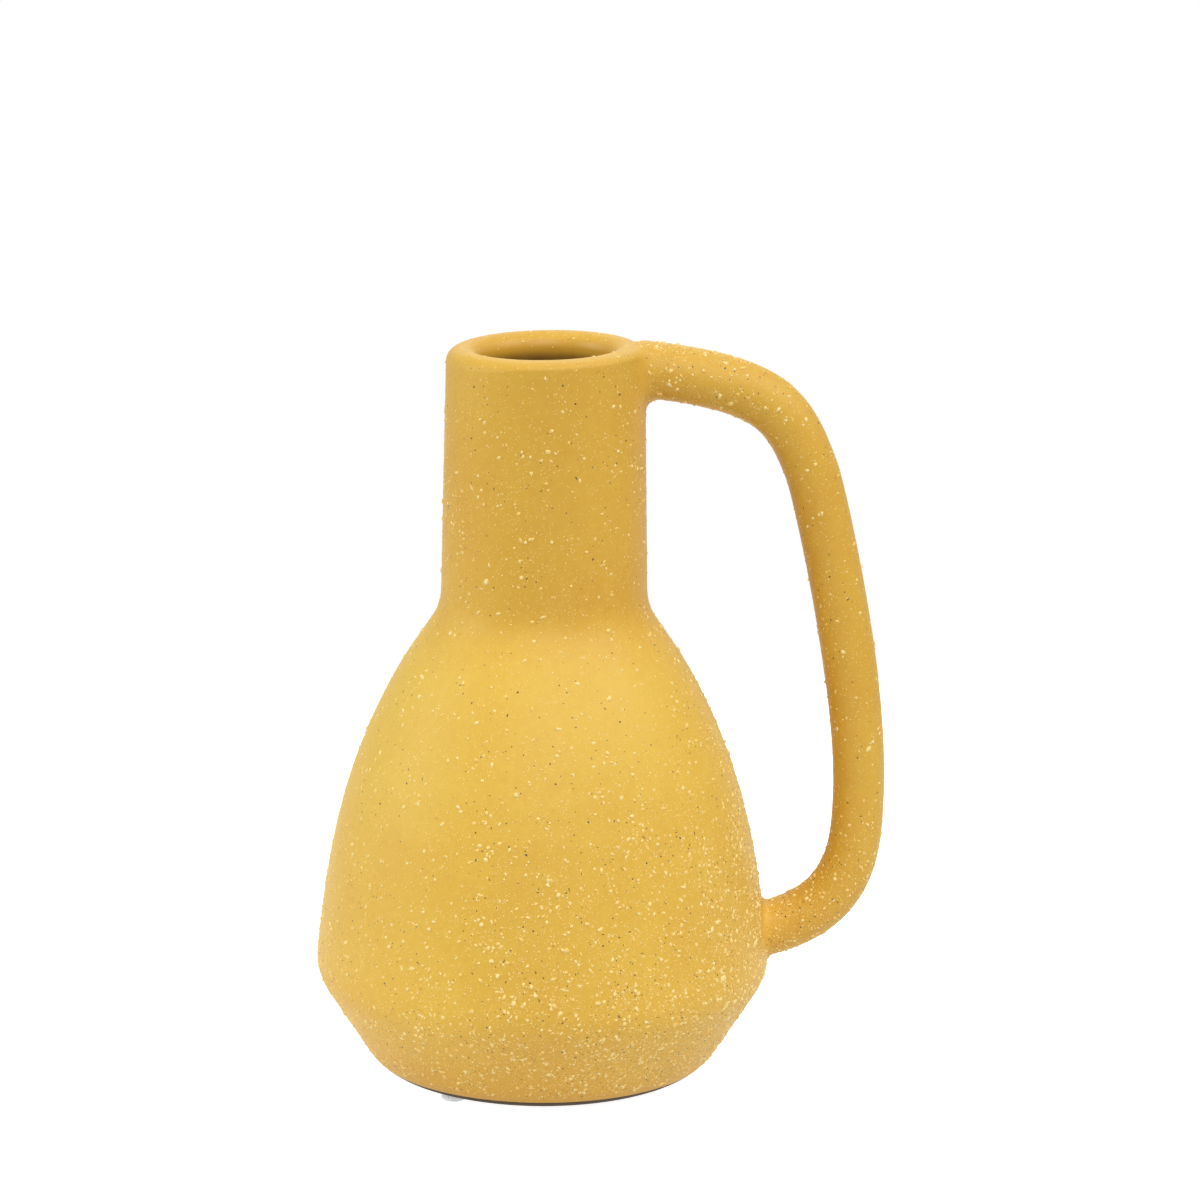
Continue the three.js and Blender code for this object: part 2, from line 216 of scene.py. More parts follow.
class Colours(bpy.types.PropertyGroup):
    """Colours of the glaze, the clay, the bumpers, the floor and the lamps."""
    # Painted light: this lighter, yellower colour is laid on the belly where it faces up into the
    # light from above; elsewhere it shows in random clouds.
    glaze: colour("Glaze", "Ochre glaze where it has run thick on the belly", "#E9BE48")
    # The darker glaze tone: in random clouds, and on the neck, the handle and the foot, which get
    # no painted light.
    glaze_thin: colour("Thin glaze", "Glaze where it lies thinner over the clay", "#DAA535")
    dust: colour("Dust", "Fine sand that shows through the glaze", "#F3CB6E")
    grain_pale: colour("Pale grain", "Bare side of a grain", "#FFE79C")
    grain_coated: colour("Coated grain", "Grain that the glaze covers", "#F8CC66")
    speck: colour("Speck", "Iron specks and pinholes", "#3A2410")
    clay: colour("Clay", "Bare stoneware under the foot", "#B09A7C")
    clay_dark: colour("Dark clay", "Darker grains of the bare stoneware", "#8A7459")
    # Painted shade: the dark brown that the inside is painted with below the mouth.
    inside: colour("Inside glaze", "Glaze pooled brown inside the vessel", "#6B4A18")
    # Painted shadow on the foot's edge; also the browner tone of the specks.
    foot_shadow_and_speck_brown: colour("Toasted clay", "Wiped edge of the foot, browned by the fire", "#3E301B")
    silicone: colour("Silicone", "Clear bumpers", "#F4F7F7")
    floor: colour("Floor", "Stage floor", "#ECECEC")
    cool_light: colour("Cool light", "Light from above and behind", "#F6FFFD")
    left_light: colour("Left light", "Light from the left", "#FBFFF2")
    plain_light: colour("Plain light", "Light from the front and the right", "#FFFFFF")


class StageSizes(bpy.types.PropertyGroup):
    """The camera, the lamps and the floor."""
    lens: number("Lens", "Focal length for a sensor of 36 mm", 153.49, 1.0)
    camera_distance: length("Camera distance", "From the camera to its aim", 1573.7)
    pitch: angle("Pitch", "How far the camera looks down", 13.3465)
    roll: angle("Roll", "How far the camera leans to its left", 0.465)
    aim_side: length("Aim side", "Place of the camera's aim along X", -0.588)
    aim_height: length("Aim height", "Height of the camera's aim", 150.7)
    floor_size: length("Floor size", "Side of the square floor", 1000.0)
    sky: number("Sky", "Brightness of the surroundings on the object", 0.1)
    top_light: number("Top light", "Power of the soft box overhead in watts", 9.0)
    left_light: number("Left light", "Power of the soft box at the left in watts", 24.0)
    right_light: number("Right light", "Power of the soft box at the right in watts", 28.0)
    front_light: number("Front light", "Power of the soft box above the camera in watts", 25.5)
    back_light: number("Back light", "Power of the soft box behind the vase in watts", 9.0)


class VaseSettings(bpy.types.PropertyGroup):
    """Everything about the vase that a user may change."""
    vessel: bpy.props.PointerProperty(type=VesselSizes, name="Vessel")
    handle: bpy.props.PointerProperty(type=HandleSizes, name="Handle")
    grit: bpy.props.PointerProperty(type=GritSizes, name="Grit")
    bumpers: bpy.props.PointerProperty(type=BumperSizes, name="Bumpers")
    colours: bpy.props.PointerProperty(type=Colours, name="Colours")
    stage: bpy.props.PointerProperty(type=StageSizes, name="Stage")


# Outlines: rows of radius and height

def lean_in(angle_in):
    """The way up a wall that leans in by an angle."""
    return np.array([-math.sin(angle_in), math.cos(angle_in)])


def round_corner(before, corner, after, radius, steps=24):
    """An arc that rounds the corner between two straight lines."""
    back = (before - corner) / np.linalg.norm(before - corner)
    onward = (after - corner) / np.linalg.norm(after - corner)
    half_angle = math.acos(back @ onward) / 2
    bisector = (back + onward) / np.linalg.norm(back + onward)
    centre = corner + bisector * radius / math.sin(half_angle)
    tangent = radius / math.tan(half_angle)
    start = corner + back * tangent - centre
    end = corner + onward * tangent - centre
    first = math.atan2(start[1], start[0])
    sweep = (math.atan2(end[1], end[0]) - first + math.pi) % (2 * math.pi) - math.pi
    turns = first + sweep * np.linspace(0, 1, steps + 1)
    return centre + radius * np.column_stack((np.cos(turns), np.sin(turns)))


def bezier(a, b, c, d, steps=120):
    """A curve from a to d that leaves a towards b and reaches d from c."""
    t = np.linspace(0, 1, steps + 1)[:, None]
    return (1 - t) ** 3 * a + 3 * (1 - t) ** 2 * t * b + 3 * (1 - t) * t ** 2 * c + t ** 3 * d


def lengths_along(points):
    """For each point, the length of the line up to it."""
    steps = np.linalg.norm(np.diff(points, axis=0), axis=1)
    return np.concatenate(([0], np.cumsum(steps)))


def between_rows(at, along, rows):
    """Values between rows that lie at these distances along."""
    return np.column_stack([np.interp(at, along, column) for column in rows.T])


def unit(ways):
    """The same ways, each with a length of 1."""
    return ways / np.linalg.norm(ways, axis=1)[:, None]


def respaced(points, spacing):
    """The same line with evenly spaced points."""
    along = lengths_along(points)
    even = np.linspace(0, along[-1], max(2, math.ceil(along[-1] / spacing) + 1))
    return between_rows(even, along, points)


def evened(points, passes=3):
    """The line with its small kinks worn down, as wet fingers leave it."""
    points = points.copy()
    for _ in range(passes):
        points[1:-1] = points[1:-1] / 2 + (points[:-2] + points[2:]) / 4
    return points


def smooth(value, low, high):
    """A smooth step from 0 at low to 1 at high."""
    share = np.clip((value - low) / (high - low), 0, 1)
    return share * share * (3 - 2 * share)


def outer_wall(v):
    """The outer outline, from the trimmed edge of the foot up to the start of the lip."""
    foot = np.array([v.foot_radius, -v.foot_trim])
    keel = np.array([v.keel_radius, v.keel_height])
    shoulder = np.array([v.shoulder_radius, v.shoulder_height])
    neck_top = np.array([v.neck_radius, v.height - v.lip_outer_drop])
    above_keel = keel + lean_in(v.keel_lean) * v.keel_pull
    below_shoulder = shoulder - lean_in(v.shoulder_lean) * v.shoulder_pull
    foot_arc = round_corner(np.array([0, -v.foot_trim]), foot, keel, v.foot_rounding)
    keel_arc = round_corner(foot, keel, above_keel, v.keel_rounding)
    shoulder_arc = round_corner(below_shoulder, shoulder, neck_top, v.shoulder_rounding)
    belly = bezier(keel, above_keel, below_shoulder, shoulder)
    belly = belly[(belly[:, 1] > keel_arc[-1, 1] + v.spacing) &
                  (belly[:, 1] < shoulder_arc[0, 1] - v.spacing)]
    wall = np.vstack((foot_arc, keel_arc, belly, shoulder_arc, neck_top))
    edge_radius = np.interp(0, wall[:, 1], wall[:, 0])
    wall = np.vstack(([edge_radius, 0], wall[wall[:, 1] > 0]))
    wall = evened(respaced(wall, v.spacing))
    return wall - belly_relief(v, wall[:, 1])[:, None] * [1, 0]


def belly_relief(v, heights):
    """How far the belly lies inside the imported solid: room for the grit, and soft rings."""
    below_neck = smooth(-heights, -v.shoulder_height, -v.ring_middle)
    room = smooth(heights, 0, v.foot_rounding) * below_neck
    fade = np.exp(-((heights - v.ring_middle) / v.ring_reach) ** 2)
    groove = (1 - np.sin(2 * math.pi * heights / v.ring_spacing)) / 2
    return v.grit_room * room + v.ring_depth * groove * fade


def lip_arc(v, steps=36):
    """The lip, from its outer side over the crest and down its slope to the bore."""
    turns = np.linspace(0, math.pi, steps + 1)[1:]
    outside = turns <= math.pi / 2
    reach = np.where(outside, v.lip_outer_reach, v.lip_inner_reach)
    drop = np.where(outside, v.lip_outer_drop, v.lip_inner_drop)
    crest = v.neck_radius - v.lip_outer_reach
    return np.column_stack((crest + reach * np.cos(turns), v.height - drop * (1 - np.sin(turns))))


def moved_in(outline, distance):
    """The outline moved square to itself towards the axis."""
    along = unit(np.gradient(outline, axis=0))
    return outline + distance * np.column_stack((-along[:, 1], along[:, 0]))


def inside_outline(v):
    """The throat, the inner wall and the floor, from the lip's end to the axis."""
    bore = lip_arc(v)[-1]
    throat_end = np.array([v.neck_radius - v.wall, bore[1] - v.throat])
    half = np.array([0, v.throat / 2])
    throat = bezier(bore, bore - half, throat_end + half, throat_end)[1:]
    wall = moved_in(outer_wall(v), v.wall)
    wall = wall[(wall[:, 1] > v.floor) & (wall[:, 1] < throat_end[1] - v.spacing)][::-1]
    corner = np.array([wall[-1, 0], v.floor])
    above = wall[wall[:, 1] > v.floor + v.floor_rounding]
    rounded = round_corner(above[-1], corner, np.array([0, v.floor]), v.floor_rounding)
    return respaced(np.vstack((throat, above, rounded, [0, v.floor])), 2 * v.spacing)


def underside_outline(v, edge_radius):
    """The recess and the foot ring, from the axis to the foot's edge."""
    ring_start = edge_radius - v.foot_ring
    top = np.array([ring_start - v.recess, v.recess])
    bottom = np.array([ring_start, 0])
    centre = np.array([0, v.recess])
    edge = np.array([edge_radius, 0])
    upper = round_corner(centre, top, bottom, v.recess_rounding, 6)
    lower = round_corner(top, bottom, edge, v.recess_rounding, 6)
    hollow = np.linspace(centre, upper[0], 20)[1:-1]
    ring = np.linspace(lower[-1], edge, 12)[1:-1]
    return np.vstack((centre, hollow, upper, lower, ring))


def worked(v, points):
    """The points after the lip is pinched on one side and the rim drawn up to the handle."""
    radius = np.hypot(points[..., 0], points[..., 1])
    turn = np.arctan2(points[..., 1], points[..., 0]) - v.pinch_way
    below = (v.height - points[..., 2]).clip(0)
    side = smooth(np.cos(turn), 0.3, 0.9)  # full up to 26 degrees from its middle, none from 73
    outside = radius > v.neck_radius - v.lip_outer_reach
    pinch = v.lip_pinch * side * outside
    pinch = pinch * smooth(-radius, -v.neck_radius - v.lip_outer_drop, -v.neck_radius)
    lift = pinch * below * (1 - smooth(below, v.lip_outer_drop, 4 * v.lip_outer_drop))
    height = smooth(points[..., 2], v.height - v.lean_below, v.height)
    beyond = smooth(points[..., 0], v.neck_radius, v.neck_radius + v.lean_beside)
    rise = math.tan(v.rim_lean) * np.minimum(points[..., 0], v.neck_radius) * (1 - beyond)
    return points + (rise * height + lift)[..., None] * [0, 0, 1]


# Distances to the clay, for the joints and the grit

def vessel_skin(v):
    """The vessel's outer outline and its lip, which the handle's roots are blended into."""
    throat = inside_outline(v)
    throat = throat[throat[:, 1] > v.height - v.throat]
    return np.vstack((outer_wall(v), lip_arc(v), throat))


def nearest_on(line, points):
    """For each 2-D point: the distance to a line of points, its side and its place along."""
    start, step = line[:-1], np.diff(line, axis=0)
    size = np.einsum("ij,ij->i", step, step)
    gap, side, place = [], [], []
    for part in np.array_split(points, max(1, len(points) // 2000)):
        offset = part[:, None] - start
        share = np.clip(np.einsum("nij,ij->ni", offset, step) / size, 0, 1)
        away = offset - share[..., None] * step
        apart = np.linalg.norm(away, axis=2)
        near = apart.argmin(axis=1)
        rows = np.arange(len(part))
        gap.append(apart[rows, near])
        turn = away[rows, near, 0] * step[near, 1] - away[rows, near, 1] * step[near, 0]
        side.append(np.where(turn >= 0, 1.0, -1.0))
        place.append(near + share[rows, near])
    return np.concatenate(gap), np.concatenate(side), np.concatenate(place)


def at_place(place, rows):
    """Values between rows, for places counted in rows."""
    return between_rows(place, np.arange(len(rows)), rows)


def turn_between(one_way, other_way):
    """0 where two surfaces run alike and 1 where they stand square to each other."""
    return np.linalg.norm(one_way - other_way, axis=1) / math.sqrt(2)


class Rod:
    """The handle's rod: a route of short steps in the XZ plane, with a radius along it."""

    def __init__(self, v, h):
        wall = outer_wall(v)
        lower_height = v.keel_height + h.lower_rise
        belly = np.interp(lower_height, wall[:, 1], wall[:, 0])
        upper = np.array([v.neck_radius - h.root_depth, v.height - h.upper_drop])
        top = np.array([v.neck_radius + h.grip_top_reach, v.height - h.grip_top_drop])
        low = np.array([v.keel_radius + h.grip_low_reach, v.keel_height + h.grip_low_rise])
        lower = np.array([belly - h.root_depth, lower_height])
        upper_way = self.heading(h.upper_slope)
        top_way = self.heading(h.grip_top_slope)
        low_way = self.heading(h.grip_low_slope)
        lower_way = self.heading(math.pi - h.lower_slope)
        arm = bezier(upper, upper + upper_way * h.upper_pull,
                     top - top_way * h.grip_top_before, top)
        grip = bezier(top, top + top_way * h.grip_top_after,
                      low - low_way * h.grip_low_before, low)
        foot = bezier(low, low + low_way * h.grip_low_after,
                      lower - lower_way * h.lower_pull, lower)
        first = upper - upper_way * h.root_stub
        last = lower + lower_way * h.root_stub
        self.line = np.vstack((first, arm, grip[1:], foot[1:], last))
        self.along = lengths_along(self.line)
        self.length = self.along[-1]
        self.ways = np.gradient(self.line, self.along, axis=0)
        arm_start, arm_end, grip_end = 1, len(arm), len(arm) + len(grip) - 1
        starts = self.along[[arm_start, arm_end, grip_end]]
        self.stations = np.array([
            starts[0], (starts[0] + starts[1]) / 2, starts[1],
            (starts[1] + starts[2]) / 2, starts[2], self.length,
        ])
        self.radii = np.array([
            h.upper_root_radius, h.upper_arm_radius, h.grip_top_radius,
            h.grip_radius, h.grip_low_radius, h.lower_root_radius,
        ]) - h.grit_room
        self.rounding = h.root_rounding
        self.sharpness = h.root_sharpness

    @staticmethod
    def heading(slope):
        return np.array([math.cos(slope), -math.sin(slope)])

    def radius_at(self, distance):
        """The rod swells a little in both arms and is rounded over at its upper end."""
        place = np.interp(distance, self.stations, np.arange(len(self.stations)))
        low = np.minimum(place.astype(int), len(self.stations) - 2)
        blend = smooth(place - low, 0, 1)
        radius = self.radii[low] * (1 - blend) + self.radii[low + 1] * blend
        short = self.sharpness * np.clip(1 - distance / self.rounding, 0, 1)
        return radius * np.sqrt(1 - short ** 2)

    def surface(self, distance, turn):
        """Points at distances along the rod and at angles round it from its top."""
        centre = between_rows(distance, self.along, self.line)
        way = unit(between_rows(distance, self.along, self.ways))
        radius = self.radius_at(distance)
        up = radius * np.cos(turn)
        return np.column_stack((
            centre[:, 0] - way[:, 1] * up, radius * np.sin(turn), centre[:, 1] + way[:, 0] * up))

    def gap_to(self, points):
        """The distance to the rod, negative inside it, and the way out of it."""
        place = nearest_on(self.line, points[:, [0, 2]])[2]
        middle_x, middle_z, along = at_place(place, np.column_stack((self.line, self.along))).T
        away = points - np.column_stack((middle_x, np.zeros(len(points)), middle_z))
        size = np.linalg.norm(away, axis=1)
        return size - self.radius_at(along), away / size[:, None]


class Clay:
    """The vessel and the rod as one body, whose corners are filled with worked-in clay."""

    def __init__(self, settings):
        self.vessel, self.handle = settings.vessel, settings.handle
        low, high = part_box("vessel")
        self.place = Vector((low.x + (high.y - low.y) / 2, 0, low.z))
        self.skin = vessel_skin(self.vessel)
        along = np.gradient(self.skin, axis=0)
        self.ways_out = np.column_stack((along[:, 1], -along[:, 0]))
        self.rod = Rod(self.vessel, self.handle)

    def gap_to_vessel(self, points):
        """The distance to the vessel, negative inside it, and the way out of it."""
        radius = np.hypot(points[:, 0], points[:, 1])
        gap, side, place = nearest_on(self.skin, np.column_stack((radius, points[:, 2])))
        out = unit(at_place(place, self.ways_out))
        around = points[:, :2] / radius[:, None]
        return gap * side, np.column_stack((around * out[:, :1], out[:, 1]))

    def reach(self, points):
        """How far the worked-in clay reaches: at the belly, at the neck and over the lip."""
        high = points[:, 2]
        lip = smooth(high, self.vessel.height - self.vessel.lip_outer_drop, self.vessel.height)
        upper = self.handle.upper_fillet * (1 - lip) + self.handle.crest_fillet * lip
        return np.where(high > self.vessel.shoulder_height, upper, self.handle.lower_fillet)

    def distance(self, points):
        """The distance to the blended body, negative inside it: a smooth least of both."""
        vessel, vessel_way = self.gap_to_vessel(points)
        rod, rod_way = self.rod.gap_to(points)
        reach = self.reach(points) * turn_between(vessel_way, rod_way).clip(0.01, 1)
        overlap = np.clip(1 - np.abs(vessel - rod) / reach, 0, 1)
        return np.minimum(vessel, rod) - overlap ** 2 * reach / 4

    def settled(self, points, depth=0.0, turns=5):
        """The points moved onto the blended body, or to a depth in it, and its normals."""
        probe = 0.02 * MM
        for _ in range(turns):
            slope = unit(np.column_stack([
                self.distance(points + step) - self.distance(points - step)
                for step in np.eye(3) * probe
            ]) / (2 * probe))
            points = points - slope * (self.distance(points) + depth)[:, None]
        return points, slope


# Meshes

def add_piece(name, points, faces, materials, place, face_slots=None):
    """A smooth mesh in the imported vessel's place, which rides on the part's only body."""
    mesh = bpy.data.meshes.new(name)
    mesh.from_pydata((np.asarray(points) + place).tolist(), [], faces)
    for material in materials:
        mesh.materials.append(material)
    if face_slots is not None:
        mesh.polygons.foreach_set("material_index", face_slots)
    mesh.shade_smooth()
    piece = bpy.data.objects.new(name, mesh)
    bpy.context.scene.collection.objects.link(piece)
    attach(piece, "root")
    return piece


def skin_over(rings, first_point, last_point):
    """A closed skin over rings of equal length, with a point that closes each end."""
    sides = len(rings[0])
    points = np.vstack([*rings, first_point, last_point])
    first, last = len(points) - 2, len(points) - 1
    faces = []
    for i in range(len(rings) - 1):
        low, high = i * sides, (i + 1) * sides
        faces += [(low + j, low + (j + 1) % sides, high + (j + 1) % sides, high + j)
                  for j in range(sides)]
    end = (len(rings) - 1) * sides
    faces += [(first, (j + 1) % sides, j) for j in range(sides)]
    faces += [(last, end + j, end + (j + 1) % sides) for j in range(sides)]
    return points, faces


def even_turns(sides):
    """Evenly spaced angles, all the way round."""
    return np.linspace(0, 2 * math.pi, sides, endpoint=False)


def round_axis(radius, height, turns):
    """Points at a radius and a height, at angles round the axis."""
    return np.column_stack((
        radius * np.cos(turns), radius * np.sin(turns), np.broadcast_to(height, len(turns))))


def turned(outline, sides):
    """The skin of an outline that starts and ends on the axis, turned round it."""
    turns = even_turns(sides)
    rings = [round_axis(radius, height, turns) for radius, height in outline[1:-1]]
    return skin_over(rings, [0, 0, outline[0, 1]], [0, 0, outline[-1, 1]])


def root_crossing(clay, turns, at_end, halvings=30):
    """How far from its end the rod leaves the vessel, at each angle round it."""
    rod = clay.rod
    within = np.zeros(len(turns))
    clear = np.full(len(turns), clay.handle.root_stub + 2 * clay.handle.lower_root_radius)
    for _ in range(halvings):
        middle = (within + clear) / 2
        outside = clay.gap_to_vessel(root_points(rod, middle, turns, at_end))[0] > 0
        clear = np.where(outside, middle, clear)
        within = np.where(outside, within, middle)
    return clear


def root_points(rod, distance, turns, at_end):
    """Points on the rod at a distance from its upper or lower end."""
    return rod.surface(rod.length - distance if at_end else distance, turns)


ROOT_ON_ROD = 1.6  # how far a root's skin runs along the rod, in reaches of the clay
ROOT_ON_WALL = 1.25  # how much further it runs over the vessel's wall
ROOT_RINGS = 17
ROOT_SUNK = 0.06 * MM  # depth of the skin's edge in the wall
ROOT_HIDDEN = 0.7 * MM  # depth of the ring below that edge
ROOT_TUCK = 0.2 * MM  # how far that ring lies in under the rod


def root_rings(clay, turns, at_end):
    """Rings from inside the vessel's wall, out over the worked-in clay and onto the rod.

    Also gives the distance from the rod's end at which the last ring lies.
    """
    rod, handle = clay.rod, clay.handle
    crossing = root_crossing(clay, turns, at_end)
    corner = root_points(rod, crossing, turns, at_end)
    wall_normal = clay.gap_to_vessel(corner)[1]
    rod_normal = rod.gap_to(corner)[1]
    reach = ROOT_ON_ROD * clay.reach(corner) * turn_between(wall_normal, rod_normal).clip(0.2, 1)
    on_rod = root_points(rod, crossing + reach, turns, at_end)
    along_wall_normal = np.einsum("ij,ij->i", rod_normal, wall_normal)[:, None]
    outward = unit(rod_normal - along_wall_normal * wall_normal)
    on_wall = corner + outward * ROOT_ON_WALL * reach[:, None]
    rings = []
    for share in np.linspace(0, 1, ROOT_RINGS):
        ring = on_wall * (1 - share) ** 2 + corner * 2 * share * (1 - share) + on_rod * share ** 2
        sunk = ROOT_SUNK * (1 - smooth(share, 0, 0.45))
        rings.append(clay.settled(ring, sunk)[0])
    normals = clay.settled(rings[0], ROOT_SUNK)[1]
    rings.insert(0, rings[0] - normals * ROOT_HIDDEN - outward * ROOT_TUCK)
    last = (crossing + reach).max() + 3 * handle.spacing
    for share in (1 / 3, 2 / 3, 1):
        distance = (crossing + reach) * (1 - share) + last * share
        rings.append(clay.settled(root_points(rod, distance, turns, at_end))[0])
    return rings, last


def handle_skin(clay):
    """The whole handle: root rings, plain rings along the rod, and root rings again."""
    rod, handle = clay.rod, clay.handle
    turns = even_turns(handle.sides)
    upper, start = root_rings(clay, turns, False)
    lower, end = root_rings(clay, turns, True)
    ring_count = round((rod.length - end - start) / handle.spacing)
    middle = np.linspace(start, rod.length - end, ring_count)
    plain = [rod.surface(np.full(len(turns), d), turns) for d in middle[1:-1]]
    inner_ends = [rod.surface(np.full(2, d), np.array([0, math.pi])).mean(axis=0)
                  for d in (handle.root_stub, rod.length - handle.root_stub)]
    return skin_over([*upper, *plain, *reversed(lower)], *inner_ends)


# Grit

GRIT_BY_HEIGHT = (  # share of the vessel's height, and of the thickest crowding there
    (0.0, 0.4), (0.06, 0.88), (0.13, 0.98), (0.21, 0.52), (0.36, 0.36), (0.52, 0.18),
    (0.66, 0.16), (0.8, 0.2), (0.94, 0.19), (0.98, 0.12), (1.0, 0.05),
)
GRIT_TO_THE_RIGHT = 0.68  # how much thicker it lies on the belly's handle side
GRIT_ON_ARMS = 0.58  # share of the thickest crowding
GRIT_ON_GRIP = 0.15
ARMS_END = 25 * MM  # distance from the rod's ends where the arms' crowding starts to fade
GRIP_STARTS = 70 * MM
CALM_EDGE = 1.6  # the grit starts at so many heights of the foot's painted shadow


def patchiness(points, size):
    """A smooth random share from 0.5 to 1.5, which changes over a distance."""
    return np.array([1 + noise.noise(Vector(p) / size) for p in points]).clip(0.5, 1.5)


def vessel_crowding(clay, points):
    """The share of the thickest crowding at places on the vessel."""
    heights, shares = zip(*GRIT_BY_HEIGHT)
    by_height = np.interp(points[:, 2] / clay.vessel.height, heights, shares)
    belly = smooth(-points[:, 2], -clay.vessel.shoulder_height, -clay.vessel.ring_middle)
    to_right = GRIT_TO_THE_RIGHT * belly * points[:, 0] / clay.vessel.keel_radius
    return by_height * (1 + to_right)


def sow_on_vessel(clay, crowding, clump, rng):
    """Random places on the vessel's outer skin, with their normals."""
    line = np.vstack((outer_wall(clay.vessel), lip_arc(clay.vessel)))
    step = np.diff(line, axis=0)
    areas = 2 * math.pi * (line[:-1, 0] + line[1:, 0]) / 2 * np.linalg.norm(step, axis=1)
    tries = int(areas.sum() / (10 * MM) ** 2 * crowding)
    rows = rng.choice(len(areas), tries, p=areas / areas.sum())
    on_line = line[rows] + step[rows] * rng.random((tries, 1))
    turns = rng.random(tries) * 2 * math.pi
    out = unit(np.column_stack((step[rows, 1], -step[rows, 0])))
    points = round_axis(on_line[:, 0], on_line[:, 1], turns)
    normals = round_axis(out[:, 0], out[:, 1], turns)
    keep = rng.random(tries) < vessel_crowding(clay, points) * patchiness(points, clump)
    keep &= points[:, 2] > CALM_EDGE * clay.vessel.painted_foot_shadow_height
    return joined_surface(clay, points[keep], normals[keep], clay.rod.gap_to)


def sow_on_handle(clay, crowding, clump, rng):
    """Random places on the rod, with their normals."""
    rod = clay.rod
    area = 2 * math.pi * rod.radii.mean() * rod.length
    tries = int(area / (10 * MM) ** 2 * crowding)
    distance = rng.random(tries) * rod.length
    turns = rng.random(tries) * 2 * math.pi
    points = rod.surface(distance, turns)
    normals = rod.gap_to(points)[1]
    from_end = np.minimum(distance, rod.length - distance)
    share = GRIT_ON_ARMS + (GRIT_ON_GRIP - GRIT_ON_ARMS) * smooth(from_end, ARMS_END, GRIP_STARTS)
    keep = rng.random(tries) < share * patchiness(points, clump)
    return joined_surface(clay, points[keep], normals[keep], clay.gap_to_vessel)


def joined_surface(clay, points, normals, gap_to_other):
    """Leaves out what lies in the other body, and lays the rest on the worked-in clay."""
    other = gap_to_other(points)[0]
    points, normals, other = points[other > 0], normals[other > 0], other[other > 0]
    near = other < clay.reach(points)
    points[near], normals[near] = clay.settled(points[near])
    return points, normals


OCTAHEDRON = (
    np.array([(1, 0, 0), (-1, 0, 0), (0, 1, 0), (0, -1, 0), (0, 0, 1), (0, 0, -1)], float),
    [(0, 2, 4), (2, 1, 4), (1, 3, 4), (3, 0, 4), (2, 0, 5), (1, 2, 5), (3, 1, 5), (0, 3, 5)],
)


def icosahedron():
    """The points and faces of a ball of twenty faces."""
    golden = (1 + math.sqrt(5)) / 2
    points = [(-1, golden, 0), (1, golden, 0), (-1, -golden, 0), (1, -golden, 0),
              (0, -1, golden), (0, 1, golden), (0, -1, -golden), (0, 1, -golden),
              (golden, 0, -1), (golden, 0, 1), (-golden, 0, -1), (-golden, 0, 1)]
    faces = [(0, 11, 5), (0, 5, 1), (0, 1, 7), (0, 7, 10), (0, 10, 11),
             (1, 5, 9), (5, 11, 4), (11, 10, 2), (10, 7, 6), (7, 1, 8),
             (3, 9, 4), (3, 4, 2), (3, 2, 6), (3, 6, 8), (3, 8, 9),
             (4, 9, 5), (2, 4, 11), (6, 2, 10), (8, 6, 7), (9, 8, 1)]
    return np.array(points) / math.hypot(1, golden), faces


DENT = 0.35  # how far a grain's corners stand in or out, as a share of its radius
STRETCH = ((0.8, 1.6), (0.6, 1.1), (0.7, 1.1))  # least and most: along, across, out of the clay
SPECK_SPREAD = (0.7, 1.5)  # least and greatest radius of a speck, in middle radii


def crumbs(places, normals, radii, rng, ball, flatness, sunk):
    """Irregular grains: a small ball stretched, turned and dented at random for each place."""
    ball_points, ball_faces = ball
    how_many = len(places)
    side = unit(np.cross(normals, rng.normal(size=(how_many, 3))))
    across = np.cross(normals, side)
    dents = 1 + rng.uniform(-DENT, DENT, (how_many, len(ball_points)))
    shape = ball_points[None] * dents[..., None] * radii[:, None, None]
    stretch = [rng.uniform(least, most, how_many) for least, most in STRETCH]
    stretch[2] = stretch[2] * flatness
    shape = shape * np.stack(stretch, axis=1)[:, None]
    centre = places - normals * (radii * flatness * sunk)[:, None]
    points = (centre[:, None] + shape[..., :1] * side[:, None] + shape[..., 1:2] * across[:, None]
              + shape[..., 2:] * normals[:, None])
    return points, ball_faces


def inside_box(clay, grain_points):
    """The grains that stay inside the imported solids' box."""
    low, high = (np.array(corner) - clay.place for corner in CAD_BOX)
    keep = ((grain_points > low) & (grain_points < high)).all(axis=(1, 2))
    return grain_points[keep]


def joined(clay, lots):
    """Lots of grains as one mesh: its points and its faces."""
    points, faces, start = [], [], 0
    for grain_points, ball_faces in lots:
        kept = inside_box(clay, worked(clay.vessel, grain_points))
        firsts = start + np.arange(len(kept)) * grain_points.shape[1]
        faces.append((np.array(ball_faces)[None] + firsts[:, None, None]).reshape(-1, 3))
        points.append(kept.reshape(-1, 3))
        start += len(points[-1])
    return np.vstack(points), np.vstack(faces).tolist()


def grains(clay, grit, points, normals, rng):
    """The raised grains at these places, the small ones as plainer shapes."""
    radii = grit.typical * np.exp(rng.normal(size=len(points)) * grit.spread)
    radii = radii.clip(grit.smallest, grit.largest)
    coarse = radii > grit.coarse
    lots = [crumbs(points[pick], normals[pick], radii[pick], rng, ball, flatness=0.9, sunk=0.25)
            for pick, ball in ((~coarse, OCTAHEDRON), (coarse, icosahedron()))]
    return joined(clay, lots)


# Materials

def socket(sockets, identifier):
    """The socket with this identifier, which stays the same in every language."""
    return next(s for s in sockets if s.identifier == identifier)


